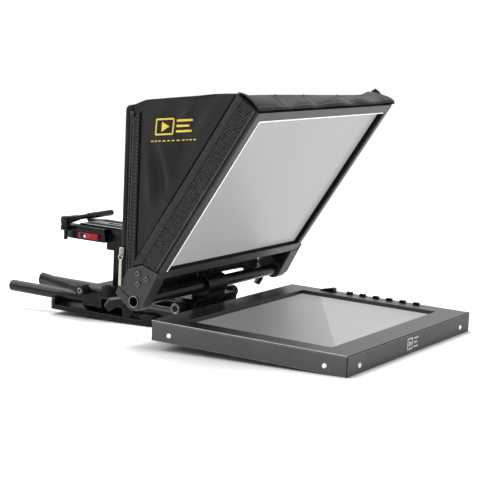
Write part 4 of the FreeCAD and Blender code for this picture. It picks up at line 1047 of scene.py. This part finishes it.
def make_catch_marks():
    """The index block and the white index dot on the safety catch."""
    low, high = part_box("safety_catch")
    face = low.x
    corners = [(x, y, z) for x in (face - 0.5 * MM, face + 1.6 * MM)
               for y in (high.y - 10.5 * MM, high.y - 4.0 * MM)
               for z in (low.z + 0.4 * MM, high.z - 0.4 * MM)]
    rounded_hexahedron("catch_index_block", corners, 0.5 * MM, 4, "black_plastic",
                       "safety_catch")
    dot = Vector((face - 0.35 * MM, high.y - 11.6 * MM, (low.z + high.z) / 2 - 0.4 * MM))
    rings = [ring(dot, radius * MM, 0.45 * MM, 0.7, 20) for radius in (0.4, 0.9, 1.5)]
    joined("catch_index_dot", rings, "white_mark", "safety_catch")


def make_rims():
    """Painted highlights: thin pale rings on the lever's bolt, on both ends of the hinge tube and on the front
    knob.
    """
    low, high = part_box("hinge_tube")
    ends = [Vector((x, hinge.y, hinge.z)) for x in (low.x - 0.1 * MM, high.x + 0.1 * MM)]
    for name, middles, radii, thick, body, slot in (
            ("lever_bolt_ring", [near_face("lever_bolt")], (2.9, 4.8), 0.5,
             "riser_lever", "black_steel"),
            ("tube_end_rings", ends, (6.4,), 0.35, "front", "anodised"),
            ("front_knob_rings", [near_face("front_clamp_knob", 0.1)], (4.5, 6.0), 0.3,
             "front_clamp_knob", "black_steel")):
        rings = [ring(middle, radius * MM, thick * MM) for middle in middles for radius in radii]
        joined(name, rings, "ring_glint", body)


def make_lever_cover():
    """The cam housing of the plate lever, from behind its pivot to the start of its grip."""
    pivot = joint_place("plate_lever_swing")
    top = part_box("platform_head")[1].z
    corners = []
    for reach, wide, below, above in ((-5.5, 5.6, 0.5, 10.9), (26, 4.4, 4.3, 10.6)):
        corners += [(pivot.x + reach * MM, pivot.y + way * wide * MM, top + level * MM)
                    for way in (-1, 1) for level in (below, above)]
    rounded_hexahedron("lever_cam_cover", corners, 2.2 * MM, 5, "black_plastic",
                       "plate_lever")


# The line drawn on each key, from -1 to 1 across and along it.
KEY_SYMBOLS = {
    "key_menu": [[(-1, 1), (1, 1)], [(-1, 0), (1, 0)], [(-1, -1), (1, -1)]],
    "key_plus": [[(-1, 0), (1, 0)], [(0, -1), (0, 1)]],
    "key_minus": [[(-1, 0), (1, 0)]],
    "key_source": [[(-1, -1), (1, 0), (-1, 1), (-1, -1)]],
    "key_flip": [[(-1, -1), (1, -1), (0, 1), (-1, -1)]],
    "key_auto": [[(-1, -1), (1, -1), (1, 1), (-1, 1), (-1, -1)]],
}


def make_key_marks():
    """Raised symbols on the keys, and three ticks on the cover behind each of them."""
    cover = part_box("monitor_bezel")[1].z
    ticks = []
    for name, drawn in KEY_SYMBOLS.items():
        low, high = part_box(name)
        middle = Vector(((low.x + high.x) / 2, (low.y + high.y) / 2, high.z + 0.02 * MM))
        lines = [tube([middle + Vector((x * 1.1, y * 1.4, 0)) * MM for x, y in ends],
                      0.16 * MM, 6, 0.6, UP) for line in drawn for ends in zip(line, line[1:])]
        joined(f"{name}_symbol", lines, "white_mark", name)
        for offset in (-1.2, 0, 1.2):
            spot = Vector((middle.x + offset * MM, high.y + 4.6 * MM, cover + 0.03 * MM))
            ticks.append(tube([spot, spot + ALONG * (1.6 * MM)], 0.2 * MM, 6, 0.5, UP))
    joined("key_ticks", ticks, "white_mark", "front")


# ---- CAD nodes

# The parts whose finish isn't the one of their slot.
OWN_FINISH = {
    "beamsplitter_glass": "coated_glass", "screen_glass": "lit_screen",
    "monitor_bezel": "bezel_coat", "arm_near": "arm_coat", "arm_far": "arm_coat",
    "zipper_slider": "zip_metal", "zipper_pull": "zip_metal",
}


def finish_nodes():
    """Each CAD part gets its own finish, or else that of its slot."""
    slots = {row["node"]: row["material_slot"] for row in frame["record"]["subparts"]}
    for name, piece in frame["nodes"].items():
        finish = OWN_FINISH.get(name, slots[name])
        if name.startswith("key_"):
            finish = "key_plastic"
        elif finish == "display":
            finish = "black_plastic"
        piece.data.materials.clear()
        piece.data.materials.append(material(finish))


# ---- stage

def make_world():
    """A white surround: full to the camera, weaker in reflections, weakest as light."""
    world = bpy.data.worlds.new("studio")
    world.use_nodes = True
    tree = world.node_tree
    tree.nodes["Background"].inputs["Color"].default_value = (1, 1, 1, 1)
    seen = tree.nodes.new("ShaderNodeLightPath")

    def math_node(operation, first, second):
        node = tree.nodes.new("ShaderNodeMath")
        node.operation = operation
        tree.links.new(first, node.inputs[0])
        if isinstance(second, float):
            node.inputs[1].default_value = second
        else:
            tree.links.new(second, node.inputs[1])
        return node.outputs["Value"]

    strength = 0.36
    for kind, level in (("Is Glossy Ray", 0.8), ("Is Camera Ray", 1.0)):
        strength = math_node("MAXIMUM", math_node("MULTIPLY", seen.outputs[kind], level), strength)
    tree.links.new(strength, tree.nodes["Background"].inputs["Strength"])
    bpy.context.scene.world = world
    bpy.context.scene.view_settings.view_transform = "Standard"


def make_floor():
    """White paper that touches the base plate's front foot and the monitor's front edge."""
    slope = 15.6 / 333  # the monitor's underside over the base's foot, and its distance, in mm
    front_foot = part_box("base_plate")[0].y
    far = 9.0
    corners = [(x, y, (front_foot - y) * slope)
               for x, y in ((-far, -far), (far, -far), (far, far), (-far, far))]
    data = bpy.data.meshes.new("floor")
    data.from_pydata(corners, [], [(0, 1, 2, 3)])
    paper = Material("white_paper", grey(0.93), 0.6)
    paper.paint(paper.mix(paper.noise(3, 2), grey(0.925), grey(0.935)))
    data.materials.append(paper.made)
    floor = bpy.data.objects.new("floor", data)
    bpy.context.scene.collection.objects.link(floor)


def add_lamp(name, light, direction, place=(0, 0, 0)):
    lamp = bpy.data.objects.new(name, light)
    bpy.context.scene.collection.objects.link(lamp)
    lamp.location = place
    lamp.rotation_euler = Vector(direction).to_track_quat("-Z", "Y").to_euler()


def make_lights():
    """Three soft boxes and a very soft sun."""
    for name, place, target, size, power in (
            ("top_light", (0.3, 0.3, 2.2), (0, -0.2, 0), (1.5, 1.2), 30),
            ("side_light", (-1.5, 1.5, 1.7), (0, -0.15, 0.1), (1.7, 1.3), 30),
            ("front_light", (-0.9, -2.3, 1.5), (0, -0.2, 0.1), (1.2, 0.9), 6)):
        light = bpy.data.lights.new(name, "AREA")
        light.shape = "RECTANGLE"
        light.size, light.size_y = size
        light.energy = power
        add_lamp(name, light, Vector(target) - Vector(place), place)
    sun = bpy.data.lights.new("soft_sun", "SUN")
    sun.energy = 2.5
    sun.angle = math.radians(60)
    add_lamp("soft_sun", sun, (-0.25, -0.45, -1))


def make_camera():
    """A long lens from the front left, slightly above and slightly rolled."""
    azimuth, elevation, roll = (math.radians(angle) for angle in (-57.70, 8.94, 2.62))
    place, focal_length, sensor = (-1.4899, -1.1144, 0.3942), 109.25, 36
    back = Vector((math.sin(azimuth) * math.cos(elevation),
                   -math.cos(azimuth) * math.cos(elevation), math.sin(elevation)))
    level = Vector((math.cos(azimuth), math.sin(azimuth), 0))
    upright = back.cross(level)
    right = level * math.cos(roll) + upright * math.sin(roll)
    up = upright * math.cos(roll) - level * math.sin(roll)
    data = bpy.data.cameras.new("camera")
    data.lens, data.sensor_width = focal_length, sensor
    data.clip_start, data.clip_end = 0.05, 60
    camera = bpy.data.objects.new("camera", data)
    bpy.context.scene.collection.objects.link(camera)
    turn = Matrix((right, up, back)).transposed()
    camera.matrix_world = Matrix.Translation(place) @ turn.to_4x4()
    bpy.context.scene.camera = camera


for make in (make_world, make_floor, make_lights, make_camera, finish_nodes, make_sides, make_bands,
             make_roof, make_back, make_skirt, make_zipper, make_stitches, make_mark,
             make_frame_trim, make_case_trim, make_catch_marks, make_rims, make_lever_cover,
             make_key_marks):
    make()
